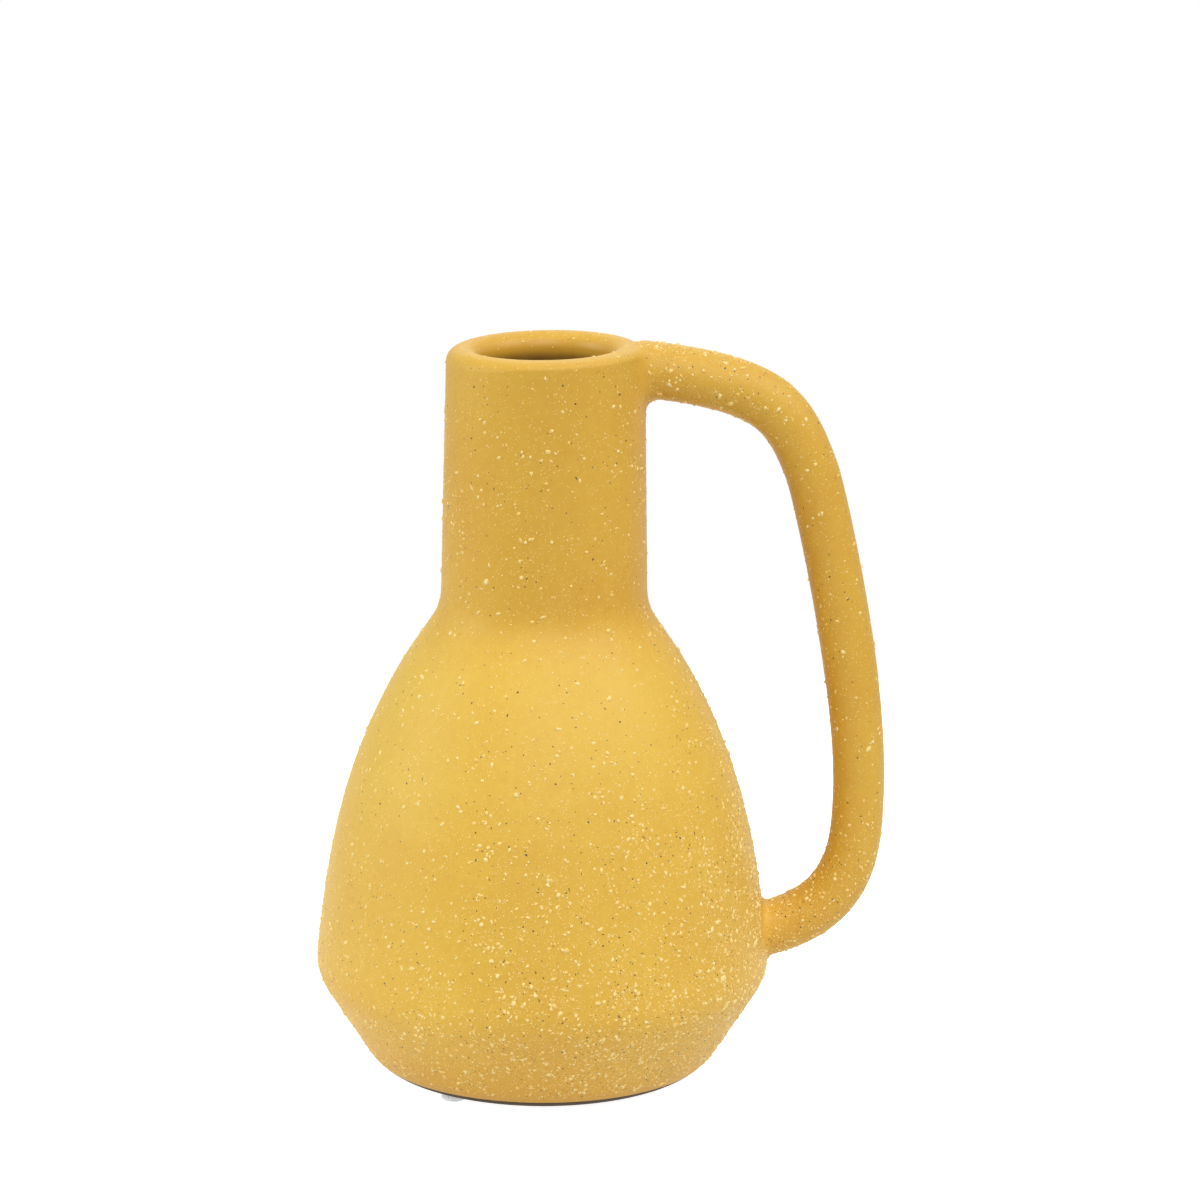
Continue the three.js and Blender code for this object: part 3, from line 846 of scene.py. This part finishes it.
def add_node(tree, kind, settings=(), inputs=()):
    """Adds a node with its settings; an input is a value, or a pair of node and output."""
    node = tree.nodes.new(kind)
    for name, value in dict(settings).items():
        setattr(node, name, value)
    for name, value in dict(inputs).items():
        target = socket(node.inputs, name)
        if isinstance(value, tuple) and isinstance(value[0], bpy.types.Node):
            tree.links.new(socket(value[0].outputs, value[1]), target)
        else:
            target.default_value = value
    return node


def new_material(name):
    """An empty material with its output node."""
    material = bpy.data.materials.new(name)
    material.use_nodes = True
    tree = material.node_tree
    tree.nodes.clear()
    return material, tree, tree.nodes.new("ShaderNodeOutputMaterial")


def finish_material(tree, output, shader, name="BSDF"):
    tree.links.new(socket(shader.outputs, name), socket(output.inputs, "Surface"))


def rgba(value):
    """The colour with full opacity."""
    return (*value, 1.0)


def scale_of(millimetres):
    """Texture scale at which one cell of a pattern is so many millimetres wide."""
    return 1 / (millimetres * MM)


def spots(tree, place, cell, radius, edge, share):
    """Round spots in a share of the cells; the cell, radius and soft edge are in millimetres."""
    cells = add_node(tree, "ShaderNodeTexVoronoi", {"feature": "F1"},
                     {"Vector": place, "Scale": scale_of(cell)})
    near = add_node(tree, "ShaderNodeMapRange", {"interpolation_type": "SMOOTHSTEP"}, {
        "Value": (cells, "Distance"), "From Min": (radius + edge) / cell,
        "From Max": max(radius - edge, 0) / cell})
    chosen = add_node(tree, "ShaderNodeMath", {"operation": "LESS_THAN"}, {
        "Value": (add_node(tree, "ShaderNodeSeparateColor", inputs={"Color": (cells, "Color")}),
                  "Red"), "Value_001": share})
    return add_node(tree, "ShaderNodeMath", {"operation": "MULTIPLY"},
                    {"Value": (near, "Result"), "Value_001": (chosen, "Value")})


GLAZE_TOP = 230 * MM
PAINTED_LIGHT_BY_HEIGHT = (  # share of that height, and how much painted light the belly gets there
    (0.0, 0.0), (0.1, 0.15), (0.2, 0.3), (0.36, 0.34), (0.47, 0.58), (0.57, 0.62), (0.68, 0.0),
)
PAINTED_LIGHT_GONE = 62 * MM  # X beyond which no painted light is laid on, as on the grip
PAINTED_LIGHT_WHOLE = 44 * MM


def set_ramp(ramp, stops):
    """Gives a colour ramp these stops, each a place and a grey level."""
    while len(ramp.elements) < len(stops):
        ramp.elements.new(1.0)
    for element, (place, level) in zip(ramp.elements, stops):
        element.position = place
        element.color = (level, level, level, 1.0)


def glaze_material(colours):
    """Matte glaze over gritty stoneware, poured and fired.

    It gives the eye a dry, even ochre with broad pale and dark clouds, fine sand that shows
    through as pale dust, a few pinholes, and a faint sheen where the surface turns away. The
    belly has painted light: where it faces up, it is coloured lighter and yellower.
    """
    material, tree, output = new_material("matte_ochre_glaze_on_gritty_stoneware")
    place = (add_node(tree, "ShaderNodeTexCoord"), "Object")
    clouds = add_node(tree, "ShaderNodeTexNoise", inputs={
        "Vector": place, "Scale": scale_of(38), "Detail": 3.0, "Roughness": 0.55})
    mottle = add_node(tree, "ShaderNodeTexNoise", inputs={
        "Vector": place, "Scale": scale_of(2.6), "Detail": 4.0, "Roughness": 0.6})
    thin = add_node(tree, "ShaderNodeMath", {"operation": "MULTIPLY_ADD"}, {
        "Value": (mottle, "Fac"), "Value_001": 0.7, "Value_002": -0.6})
    cloudy = add_node(tree, "ShaderNodeMath", {"operation": "ADD"}, {
        "Value": (thin, "Value"), "Value_001": (clouds, "Fac")})
    parts = add_node(tree, "ShaderNodeSeparateXYZ", inputs={"Vector": place})
    # Painted light: by height, the belly is coloured lighter and yellower where it faces up into
    # the light from above.
    height = add_node(tree, "ShaderNodeMapRange", inputs={
        "Value": (parts, "Z"), "From Max": GLAZE_TOP})
    painted_light_ramp = add_node(tree, "ShaderNodeValToRGB", inputs={"Fac": (height, "Result")})
    painted_light_ramp.color_ramp.interpolation = "EASE"
    set_ramp(painted_light_ramp.color_ramp, PAINTED_LIGHT_BY_HEIGHT)
    # The painted light fades out towards the handle, which keeps the darker tone.
    off_handle = add_node(tree, "ShaderNodeMapRange", {"interpolation_type": "SMOOTHSTEP"}, {
        "Value": (parts, "X"), "From Min": PAINTED_LIGHT_GONE, "From Max": PAINTED_LIGHT_WHOLE})
    # The share of the lighter colour: painted light on the belly, plus the random clouds.
    run = add_node(tree, "ShaderNodeMath", {"operation": "MULTIPLY_ADD", "use_clamp": True}, {
        "Value": (painted_light_ramp, "Color"), "Value_001": (off_handle, "Result"),
        "Value_002": (cloudy, "Value")})
    body = add_node(tree, "ShaderNodeMix", {"data_type": "RGBA"}, {
        "Factor_Float": (run, "Value"), "A_Color": rgba(colours.glaze_thin),
        "B_Color": rgba(colours.glaze)})
    dust = spots(tree, place, cell=1.15, radius=0.2, edge=0.14, share=0.6)
    dusty = add_node(tree, "ShaderNodeMix", {"data_type": "RGBA"}, {
        "Factor_Float": (dust, "Value"), "A_Color": (body, "Result_Color"),
        "B_Color": rgba(colours.dust)})
    pinholes = spots(tree, place, cell=3.2, radius=0.2, edge=0.1, share=0.32)
    specked = add_node(tree, "ShaderNodeMix", {"data_type": "RGBA"}, {
        "Factor_Float": (pinholes, "Value"), "A_Color": (dusty, "Result_Color"),
        "B_Color": rgba(colours.speck)})
    # The pores of a matte glaze are about 0.1 mm wide; they are drawn wider, so that they show.
    pores = add_node(tree, "ShaderNodeTexNoise", inputs={
        "Vector": place, "Scale": scale_of(0.7), "Detail": 3.0, "Roughness": 0.6})
    relief = add_node(tree, "ShaderNodeMath", {"operation": "SUBTRACT"}, {
        "Value": (dust, "Value"), "Value_001": (pinholes, "Value")})
    grainy = add_node(tree, "ShaderNodeBump", inputs={
        "Height": (pores, "Fac"), "Strength": 0.5, "Distance": 0.05 * MM})
    raised = add_node(tree, "ShaderNodeBump", inputs={
        "Height": (relief, "Value"), "Strength": 0.6, "Distance": 0.12 * MM,
        "Normal": (grainy, "Normal")})
    shader = add_node(tree, "ShaderNodeBsdfPrincipled", inputs={
        "Base Color": (specked, "Result_Color"), "Normal": (raised, "Normal"),
        "Roughness": 0.55, "IOR": 1.5, "Sheen Weight": 0.03, "Sheen Roughness": 0.4})
    finish_material(tree, output, shader)
    return material


def inside_painted_shade_material(colours):
    """Glaze inside the vessel, painted from ochre to dark brown below the mouth: painted shade,
    where the lip shuts out the light.
    """
    material, tree, output = new_material("poured_glaze_pooled_brown_inside")
    place = (add_node(tree, "ShaderNodeTexCoord"), "Object")
    parts = add_node(tree, "ShaderNodeSeparateXYZ", inputs={"Vector": place})
    # Painted shade: the inside turns dark brown from 4 to 8 mm below the rim, made uneven by the
    # noise below.
    depth = add_node(tree, "ShaderNodeMapRange", {"interpolation_type": "SMOOTHSTEP"}, {
        "Value": (parts, "Z"), "From Min": GLAZE_TOP - 4 * MM,
        "From Max": GLAZE_TOP - 8 * MM})
    shade_unevenness = add_node(tree, "ShaderNodeTexNoise", inputs={
        "Vector": place, "Scale": scale_of(6), "Detail": 3.0})
    brown = add_node(tree, "ShaderNodeMath", {"operation": "MULTIPLY_ADD", "use_clamp": True}, {
        "Value": (shade_unevenness, "Fac"), "Value_001": -0.3, "Value_002": (depth, "Result")})
    body = add_node(tree, "ShaderNodeMix", {"data_type": "RGBA"}, {
        "Factor_Float": (brown, "Value"), "A_Color": rgba(colours.glaze_thin),
        "B_Color": rgba(colours.inside)})
    shader = add_node(tree, "ShaderNodeBsdfPrincipled", inputs={
        "Base Color": (body, "Result_Color"), "Roughness": 0.45, "IOR": 1.5})
    finish_material(tree, output, shader)
    return material


def grain_material(colours):
    """Crushed fired clay in the glaze: some grains are bare and cream, most are glazed over."""
    material, tree, output = new_material("crushed_clay_grains_under_thin_glaze")
    place = (add_node(tree, "ShaderNodeTexCoord"), "Object")
    cells = add_node(tree, "ShaderNodeTexVoronoi", {"feature": "F1"}, {
        "Vector": place, "Scale": scale_of(1.2)})
    bare = add_node(tree, "ShaderNodeMapRange", {"interpolation_type": "SMOOTHSTEP"}, {
        "Value": (add_node(tree, "ShaderNodeSeparateColor", inputs={"Color": (cells, "Color")}),
                  "Red"), "From Min": 0.1, "From Max": 0.7})
    body = add_node(tree, "ShaderNodeMix", {"data_type": "RGBA"}, {
        "Factor_Float": (bare, "Result"), "A_Color": rgba(colours.grain_coated),
        "B_Color": rgba(colours.grain_pale)})
    shader = add_node(tree, "ShaderNodeBsdfPrincipled", inputs={
        "Base Color": (body, "Result_Color"), "Roughness": 0.5, "IOR": 1.5})
    finish_material(tree, output, shader)
    return material


def speck_material(colours):
    """Iron specks that the firing melted into the glaze: small, dark and nearly flush.

    In part they are painted shade: dark dots for the small shadows beside raised grains.
    """
    material, tree, output = new_material("melted_iron_specks")
    place = (add_node(tree, "ShaderNodeTexCoord"), "Object")
    tone = add_node(tree, "ShaderNodeTexNoise", inputs={"Vector": place, "Scale": scale_of(4)})
    body = add_node(tree, "ShaderNodeMix", {"data_type": "RGBA"}, {
        "Factor_Float": (tone, "Fac"), "A_Color": rgba(colours.speck),
        "B_Color": rgba(colours.foot_shadow_and_speck_brown)})
    shader = add_node(tree, "ShaderNodeBsdfPrincipled", inputs={
        "Base Color": (body, "Result_Color"), "Roughness": 0.45, "IOR": 1.5})
    finish_material(tree, output, shader)
    return material


def clay_material(colours):
    """Bare stoneware, wiped with a sponge before firing: dry, sandy and buff."""
    material, tree, output = new_material("sponged_bare_stoneware")
    place = (add_node(tree, "ShaderNodeTexCoord"), "Object")
    sand = add_node(tree, "ShaderNodeTexNoise", inputs={
        "Vector": place, "Scale": scale_of(0.9), "Detail": 5.0, "Roughness": 0.7})
    body = add_node(tree, "ShaderNodeMix", {"data_type": "RGBA"}, {
        "Factor_Float": (sand, "Fac"), "A_Color": rgba(colours.clay_dark),
        "B_Color": rgba(colours.clay)})
    rough = add_node(tree, "ShaderNodeBump", inputs={
        "Height": (sand, "Fac"), "Strength": 0.7, "Distance": 0.15 * MM})
    shader = add_node(tree, "ShaderNodeBsdfPrincipled", inputs={
        "Base Color": (body, "Result_Color"), "Normal": (rough, "Normal"),
        "Roughness": 0.9, "IOR": 1.5})
    finish_material(tree, output, shader)
    return material


def painted_foot_shadow_material(colours):
    """Dark brown band at the foot's edge: painted shadow, where the foot turns under into the
    shade beneath it.
    """
    material, tree, output = new_material("wiped_edge_toasted_in_firing")
    place = (add_node(tree, "ShaderNodeTexCoord"), "Object")
    sand = add_node(tree, "ShaderNodeTexNoise", inputs={
        "Vector": place, "Scale": scale_of(1.2), "Detail": 4.0, "Roughness": 0.6})
    body = add_node(tree, "ShaderNodeMix", {"data_type": "RGBA"}, {
        "Factor_Float": (sand, "Fac"), "A_Color": rgba(colours.foot_shadow_and_speck_brown),
        "B_Color": rgba(colours.speck)})
    shader = add_node(tree, "ShaderNodeBsdfPrincipled", inputs={
        "Base Color": (body, "Result_Color"), "Roughness": 0.85, "IOR": 1.5})
    finish_material(tree, output, shader)
    return material


def silicone_material(colours):
    """Clear silicone, cast in a satin mould: milky where it is thick, softly shining.

    Its faint glow stands for the light that a clear body gathers from a white table.
    """
    material, tree, output = new_material("cast_clear_silicone")
    place = (add_node(tree, "ShaderNodeTexCoord"), "Object")
    haze = add_node(tree, "ShaderNodeTexNoise", inputs={
        "Vector": place, "Scale": scale_of(1.5), "Detail": 2.0})
    satin = add_node(tree, "ShaderNodeMapRange", inputs={
        "Value": (haze, "Fac"), "To Min": 0.22, "To Max": 0.38})
    shader = add_node(tree, "ShaderNodeBsdfPrincipled", inputs={
        "Base Color": rgba(colours.silicone), "Roughness": (satin, "Result"), "IOR": 1.41,
        "Transmission Weight": 0.35, "Emission Color": WHITE, "Emission Strength": 0.12})
    finish_material(tree, output, shader)
    return material


def seen_ray(tree):
    """1 for rays that show the background: straight, mirrored or through something clear."""
    rays = add_node(tree, "ShaderNodeLightPath")
    mirrored = add_node(tree, "ShaderNodeMath", {"operation": "MAXIMUM"}, {
        "Value": (rays, "Is Camera Ray"), "Value_001": (rays, "Is Glossy Ray")})
    return add_node(tree, "ShaderNodeMath", {"operation": "MAXIMUM"}, {
        "Value": (mirrored, "Value"), "Value_001": (rays, "Is Transmission Ray")})


FLOOR_GLOW = 0.95  # just short of white, so that the vase's shadow stays


def floor_material(colours):
    """Matte white paper sweep: it looks white to the camera and keeps the vase's shadow."""
    material, tree, output = new_material("matte_white_paper")
    paper = add_node(tree, "ShaderNodeBsdfDiffuse", inputs={"Color": rgba(colours.floor)})
    glow = add_node(tree, "ShaderNodeEmission", inputs={
        "Color": WHITE, "Strength": FLOOR_GLOW})
    bright = add_node(tree, "ShaderNodeAddShader")
    tree.links.new(paper.outputs[0], bright.inputs[0])
    tree.links.new(glow.outputs[0], bright.inputs[1])
    look = add_node(tree, "ShaderNodeMixShader", inputs={"Fac": (seen_ray(tree), "Value")})
    tree.links.new(paper.outputs[0], look.inputs[1])
    tree.links.new(bright.outputs[0], look.inputs[2])
    finish_material(tree, output, look, "Shader")
    return material


# Operators

INSIDE_FROM = 0.75  # share of the lip's arc after which the inside's glaze starts
LAMPS = (  # name, place and side in metres, and the settings for its power and its colour
    ("top_box", (0.0, 0.0, 2.2), 1.8, "top_light", "cool_light"),
    ("left_box", (-2.2, -0.2, 0.9), 1.4, "left_light", "left_light"),
    ("right_box", (1.7, -0.6, 1.9), 1.4, "right_light", "plain_light"),
    ("front_box", (0.0, -1.8, 1.7), 1.4, "front_light", "plain_light"),
    ("back_box", (0.0, 2.0, 1.6), 1.4, "back_light", "cool_light"),
)


class VASE_OT_vessel(bpy.types.Operator):
    """Turns the vessel, with its wall, lip, recess and throwing rings"""
    bl_idname = "vase.vessel"
    bl_label = "Turn the vessel"

    def execute(self, context):
        settings = context.scene.vase
        clay = Clay(settings)
        outer = outer_wall(clay.vessel)
        underside = underside_outline(clay.vessel, outer[0, 0])
        lip = lip_arc(clay.vessel)
        outline = np.vstack((underside, outer, lip, inside_outline(clay.vessel)))
        sides = clay.vessel.sides
        points, faces = turned(outline, sides)
        points = worked(clay.vessel, points)
        bare_rows = len(underside) - 1
        rows = np.array([min(face) // sides for face in faces])
        rows[-2 * sides:-sides] = 0  # the fan at the middle of the underside
        # Rows of the foot up to that height get the painted shadow's material in slot 2.
        painted_foot_shadow_rows = bare_rows + np.count_nonzero(outer[:, 1] < clay.vessel.painted_foot_shadow_height)
        slots = np.where(rows < bare_rows, 1, np.where(rows < painted_foot_shadow_rows, 2, 0))
        slots[rows > bare_rows + len(outer) + INSIDE_FROM * len(lip)] = 3
        slots[-sides:] = 3  # the fan at the middle of the inner floor
        materials = [glaze_material(settings.colours), clay_material(settings.colours),
                     painted_foot_shadow_material(settings.colours), inside_painted_shade_material(settings.colours)]
        piece = add_piece("vessel_body", points, faces, materials, clay.place, slots)
        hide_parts("vessel")
        return {"FINISHED"}


class VASE_OT_handle(bpy.types.Operator):
    """Pulls the handle's rod and works its two roots into the vessel"""
    bl_idname = "vase.handle"
    bl_label = "Pull the handle"

    def execute(self, context):
        clay = Clay(context.scene.vase)
        points, faces = handle_skin(clay)
        points = worked(clay.vessel, points)
        glaze = bpy.data.materials["matte_ochre_glaze_on_gritty_stoneware"]
        piece = add_piece("handle_rod", points, faces, [glaze], clay.place)
        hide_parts("handle", "upper_joint_fillet", "lower_joint_fillet")
        return {"FINISHED"}


class VASE_OT_grit(bpy.types.Operator):
    """Sows the raised grains over the vessel and the handle"""
    bl_idname = "vase.grit"
    bl_label = "Sow the grit"

    def execute(self, context):
        settings = context.scene.vase
        grit, clay = settings.grit, Clay(settings)
        rng = np.random.default_rng(grit.seed)
        material = grain_material(settings.colours)
        points, normals = sow_on_vessel(clay, grit.crowding, grit.clump, rng)
        heights = points[:, 2]
        middle = (clay.vessel.keel_height + clay.vessel.ring_middle) / 2
        bounds = (0, clay.vessel.keel_height, middle, clay.vessel.shoulder_height, math.inf)
        # One piece for each height band, so that no mesh grows past 200,000 triangles.
        names = ("foot_grit", "lower_belly_grit", "upper_belly_grit", "neck_grit")
        lots = {}
        for name, low, high in zip(names, bounds[:-1], bounds[1:]):
            pick = (heights >= low) & (heights < high)
            lots[name] = points[pick], normals[pick]
        lots["handle_grit"] = sow_on_handle(clay, grit.crowding, grit.clump, rng)
        for name, (points, normals) in lots.items():
            mesh_points, faces = grains(clay, grit, points, normals, rng)
            add_piece(name, mesh_points, faces, [material], clay.place)
        return {"FINISHED"}


class VASE_OT_specks(bpy.types.Operator):
    """Sets the dark specks nearly flush in the glaze: iron specks, and painted shade for the
    grains' small shadows
    """
    bl_idname = "vase.specks"
    bl_label = "Set the iron specks"

    def execute(self, context):
        settings = context.scene.vase
        grit, clay = settings.grit, Clay(settings)
        rng = np.random.default_rng(grit.seed + 1)
        lots = [sow(clay, grit.speck_crowding, grit.clump, rng)
                for sow in (sow_on_vessel, sow_on_handle)]
        points, normals = (np.vstack(column) for column in zip(*lots))
        radii = grit.speck * rng.uniform(*SPECK_SPREAD, len(points))
        flat = crumbs(points, normals, radii, rng, icosahedron(), flatness=0.4, sunk=0.55)
        mesh_points, faces = joined(clay, [flat])
        material = speck_material(settings.colours)
        add_piece("iron_specks", mesh_points, faces, [material], clay.place)
        return {"FINISHED"}


class VASE_OT_bumpers(bpy.types.Operator):
    """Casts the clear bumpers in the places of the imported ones"""
    bl_idname = "vase.bumpers"
    bl_label = "Cast the bumpers"

    def execute(self, context):
        settings = context.scene.vase
        sizes = settings.bumpers
        material = silicone_material(settings.colours)
        for node in sorted(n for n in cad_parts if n.startswith("foot_pad")):
            low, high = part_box(node)
            radius, height = (high.x - low.x) / 2, high.z - low.z
            top = np.array([radius, height])
            edge = np.array([radius - sizes.draft, 0])
            side = round_corner(np.array([0, 0]), edge, top, sizes.edge_rounding, 10)
            rim = round_corner(edge, top, np.array([0, height]), sizes.draft, 4)
            outline = respaced(np.vstack(([0, 0], side, rim, [0, height])), sizes.draft)
            points, faces = turned(outline, sizes.sides)
            place = ((low.x + high.x) / 2, (low.y + high.y) / 2, low.z)
            piece = add_piece(node + "_cast", points, faces, [material], place)
            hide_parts(node)
        return {"FINISHED"}


class VASE_OT_stage(bpy.types.Operator):
    """Sets the floor, the surroundings, the soft boxes and the camera"""
    bl_idname = "vase.stage"
    bl_label = "Set the stage"

    def execute(self, context):
        settings = context.scene.vase
        stage = settings.stage
        self.lay_floor(stage, settings.colours)
        self.light_world(context.scene, stage)
        for name, place, size, power, tint in LAMPS:
            self.hang_lamp(
                name, place, size, getattr(stage, power), getattr(settings.colours, tint))
        self.place_camera(context.scene, stage)
        context.scene.view_settings.view_transform = "Standard"
        return {"FINISHED"}

    @staticmethod
    def lay_floor(stage, colours):
        half = stage.floor_size / 2
        mesh = bpy.data.meshes.new("floor")
        corners = [(-half, -half, 0), (half, -half, 0), (half, half, 0), (-half, half, 0)]
        mesh.from_pydata(corners, [], [(0, 1, 2, 3)])
        mesh.materials.append(floor_material(colours))
        floor = bpy.data.objects.new("floor", mesh)
        bpy.context.scene.collection.objects.link(floor)

    @staticmethod
    def light_world(scene, stage):
        """Even soft light all round, behind which the camera sees plain white."""
        world = bpy.data.worlds.new("studio")
        world.use_nodes = True
        tree = world.node_tree
        tree.nodes.clear()
        around = add_node(tree, "ShaderNodeBackground", inputs={
            "Color": WHITE, "Strength": stage.sky})
        behind = add_node(tree, "ShaderNodeBackground", inputs={
            "Color": WHITE, "Strength": 1.0})
        look = add_node(tree, "ShaderNodeMixShader", inputs={"Fac": (seen_ray(tree), "Value")})
        tree.links.new(around.outputs[0], look.inputs[1])
        tree.links.new(behind.outputs[0], look.inputs[2])
        output = add_node(tree, "ShaderNodeOutputWorld")
        tree.links.new(look.outputs[0], output.inputs[0])
        scene.world = world

    @staticmethod
    def hang_lamp(name, place, size, power, tint):
        """A square soft box that faces the middle of the vase."""
        lamp = bpy.data.lights.new(name, "AREA")
        lamp.size = size
        lamp.energy = power
        lamp.color = tint
        lamp_object = bpy.data.objects.new(name, lamp)
        target = Vector((0, 0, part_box("vessel")[1].z / 2))
        lamp_object.location = place
        lamp_object.rotation_euler = (target - Vector(place)).to_track_quat("-Z", "Y").to_euler()
        bpy.context.scene.collection.objects.link(lamp_object)

    @staticmethod
    def place_camera(scene, stage):
        """The camera looks along +Y and down at its aim, leaning a little to its left."""
        data = bpy.data.cameras.new("camera")
        data.sensor_width = SENSOR_WIDTH
        data.lens = stage.lens
        data.clip_start = 0.05
        data.clip_end = 10.0
        forward = Vector((0, math.cos(stage.pitch), -math.sin(stage.pitch)))
        level = Vector((1, 0, 0))
        upright = level.cross(forward)
        right = level * math.cos(stage.roll) + upright * math.sin(stage.roll)
        up = upright * math.cos(stage.roll) - level * math.sin(stage.roll)
        aim = Vector((stage.aim_side, 0, stage.aim_height))
        turn = Matrix((right, up, -forward)).transposed().to_4x4()
        camera = bpy.data.objects.new("camera", data)
        camera.matrix_world = Matrix.Translation(aim - forward * stage.camera_distance) @ turn
        scene.collection.objects.link(camera)
        scene.camera = camera


class VASE_PT_panel(bpy.types.Panel):
    """The vase's settings and the steps that build it"""
    bl_idname = "VASE_PT_panel"
    bl_label = "Handled vase"
    bl_space_type = "VIEW_3D"
    bl_region_type = "UI"
    bl_category = "Vase"

    def draw(self, context):
        for step in STEPS:
            self.layout.operator(step.bl_idname)
        for group in context.scene.vase.bl_rna.properties:
            if group.type != "POINTER":
                continue
            box = self.layout.box()
            box.label(text=group.name)
            holder = getattr(context.scene.vase, group.identifier)
            for name in holder.__annotations__:
                box.prop(holder, name)


STEPS = (VASE_OT_vessel, VASE_OT_handle, VASE_OT_grit, VASE_OT_specks, VASE_OT_bumpers,
         VASE_OT_stage)
CLASSES = (VesselSizes, HandleSizes, GritSizes, BumperSizes, Colours, StageSizes,
           VaseSettings, *STEPS, VASE_PT_panel)


def register():
    for item in CLASSES:
        bpy.utils.register_class(item)
    bpy.types.Scene.vase = bpy.props.PointerProperty(type=VaseSettings)


def unregister():
    del bpy.types.Scene.vase
    for item in reversed(CLASSES):
        bpy.utils.unregister_class(item)


def main():
    register()
    bpy.ops.vase.vessel()
    bpy.ops.vase.handle()
    bpy.ops.vase.grit()
    bpy.ops.vase.specks()
    bpy.ops.vase.bumpers()
    bpy.ops.vase.stage()


if __name__ == "__main__":
    main()
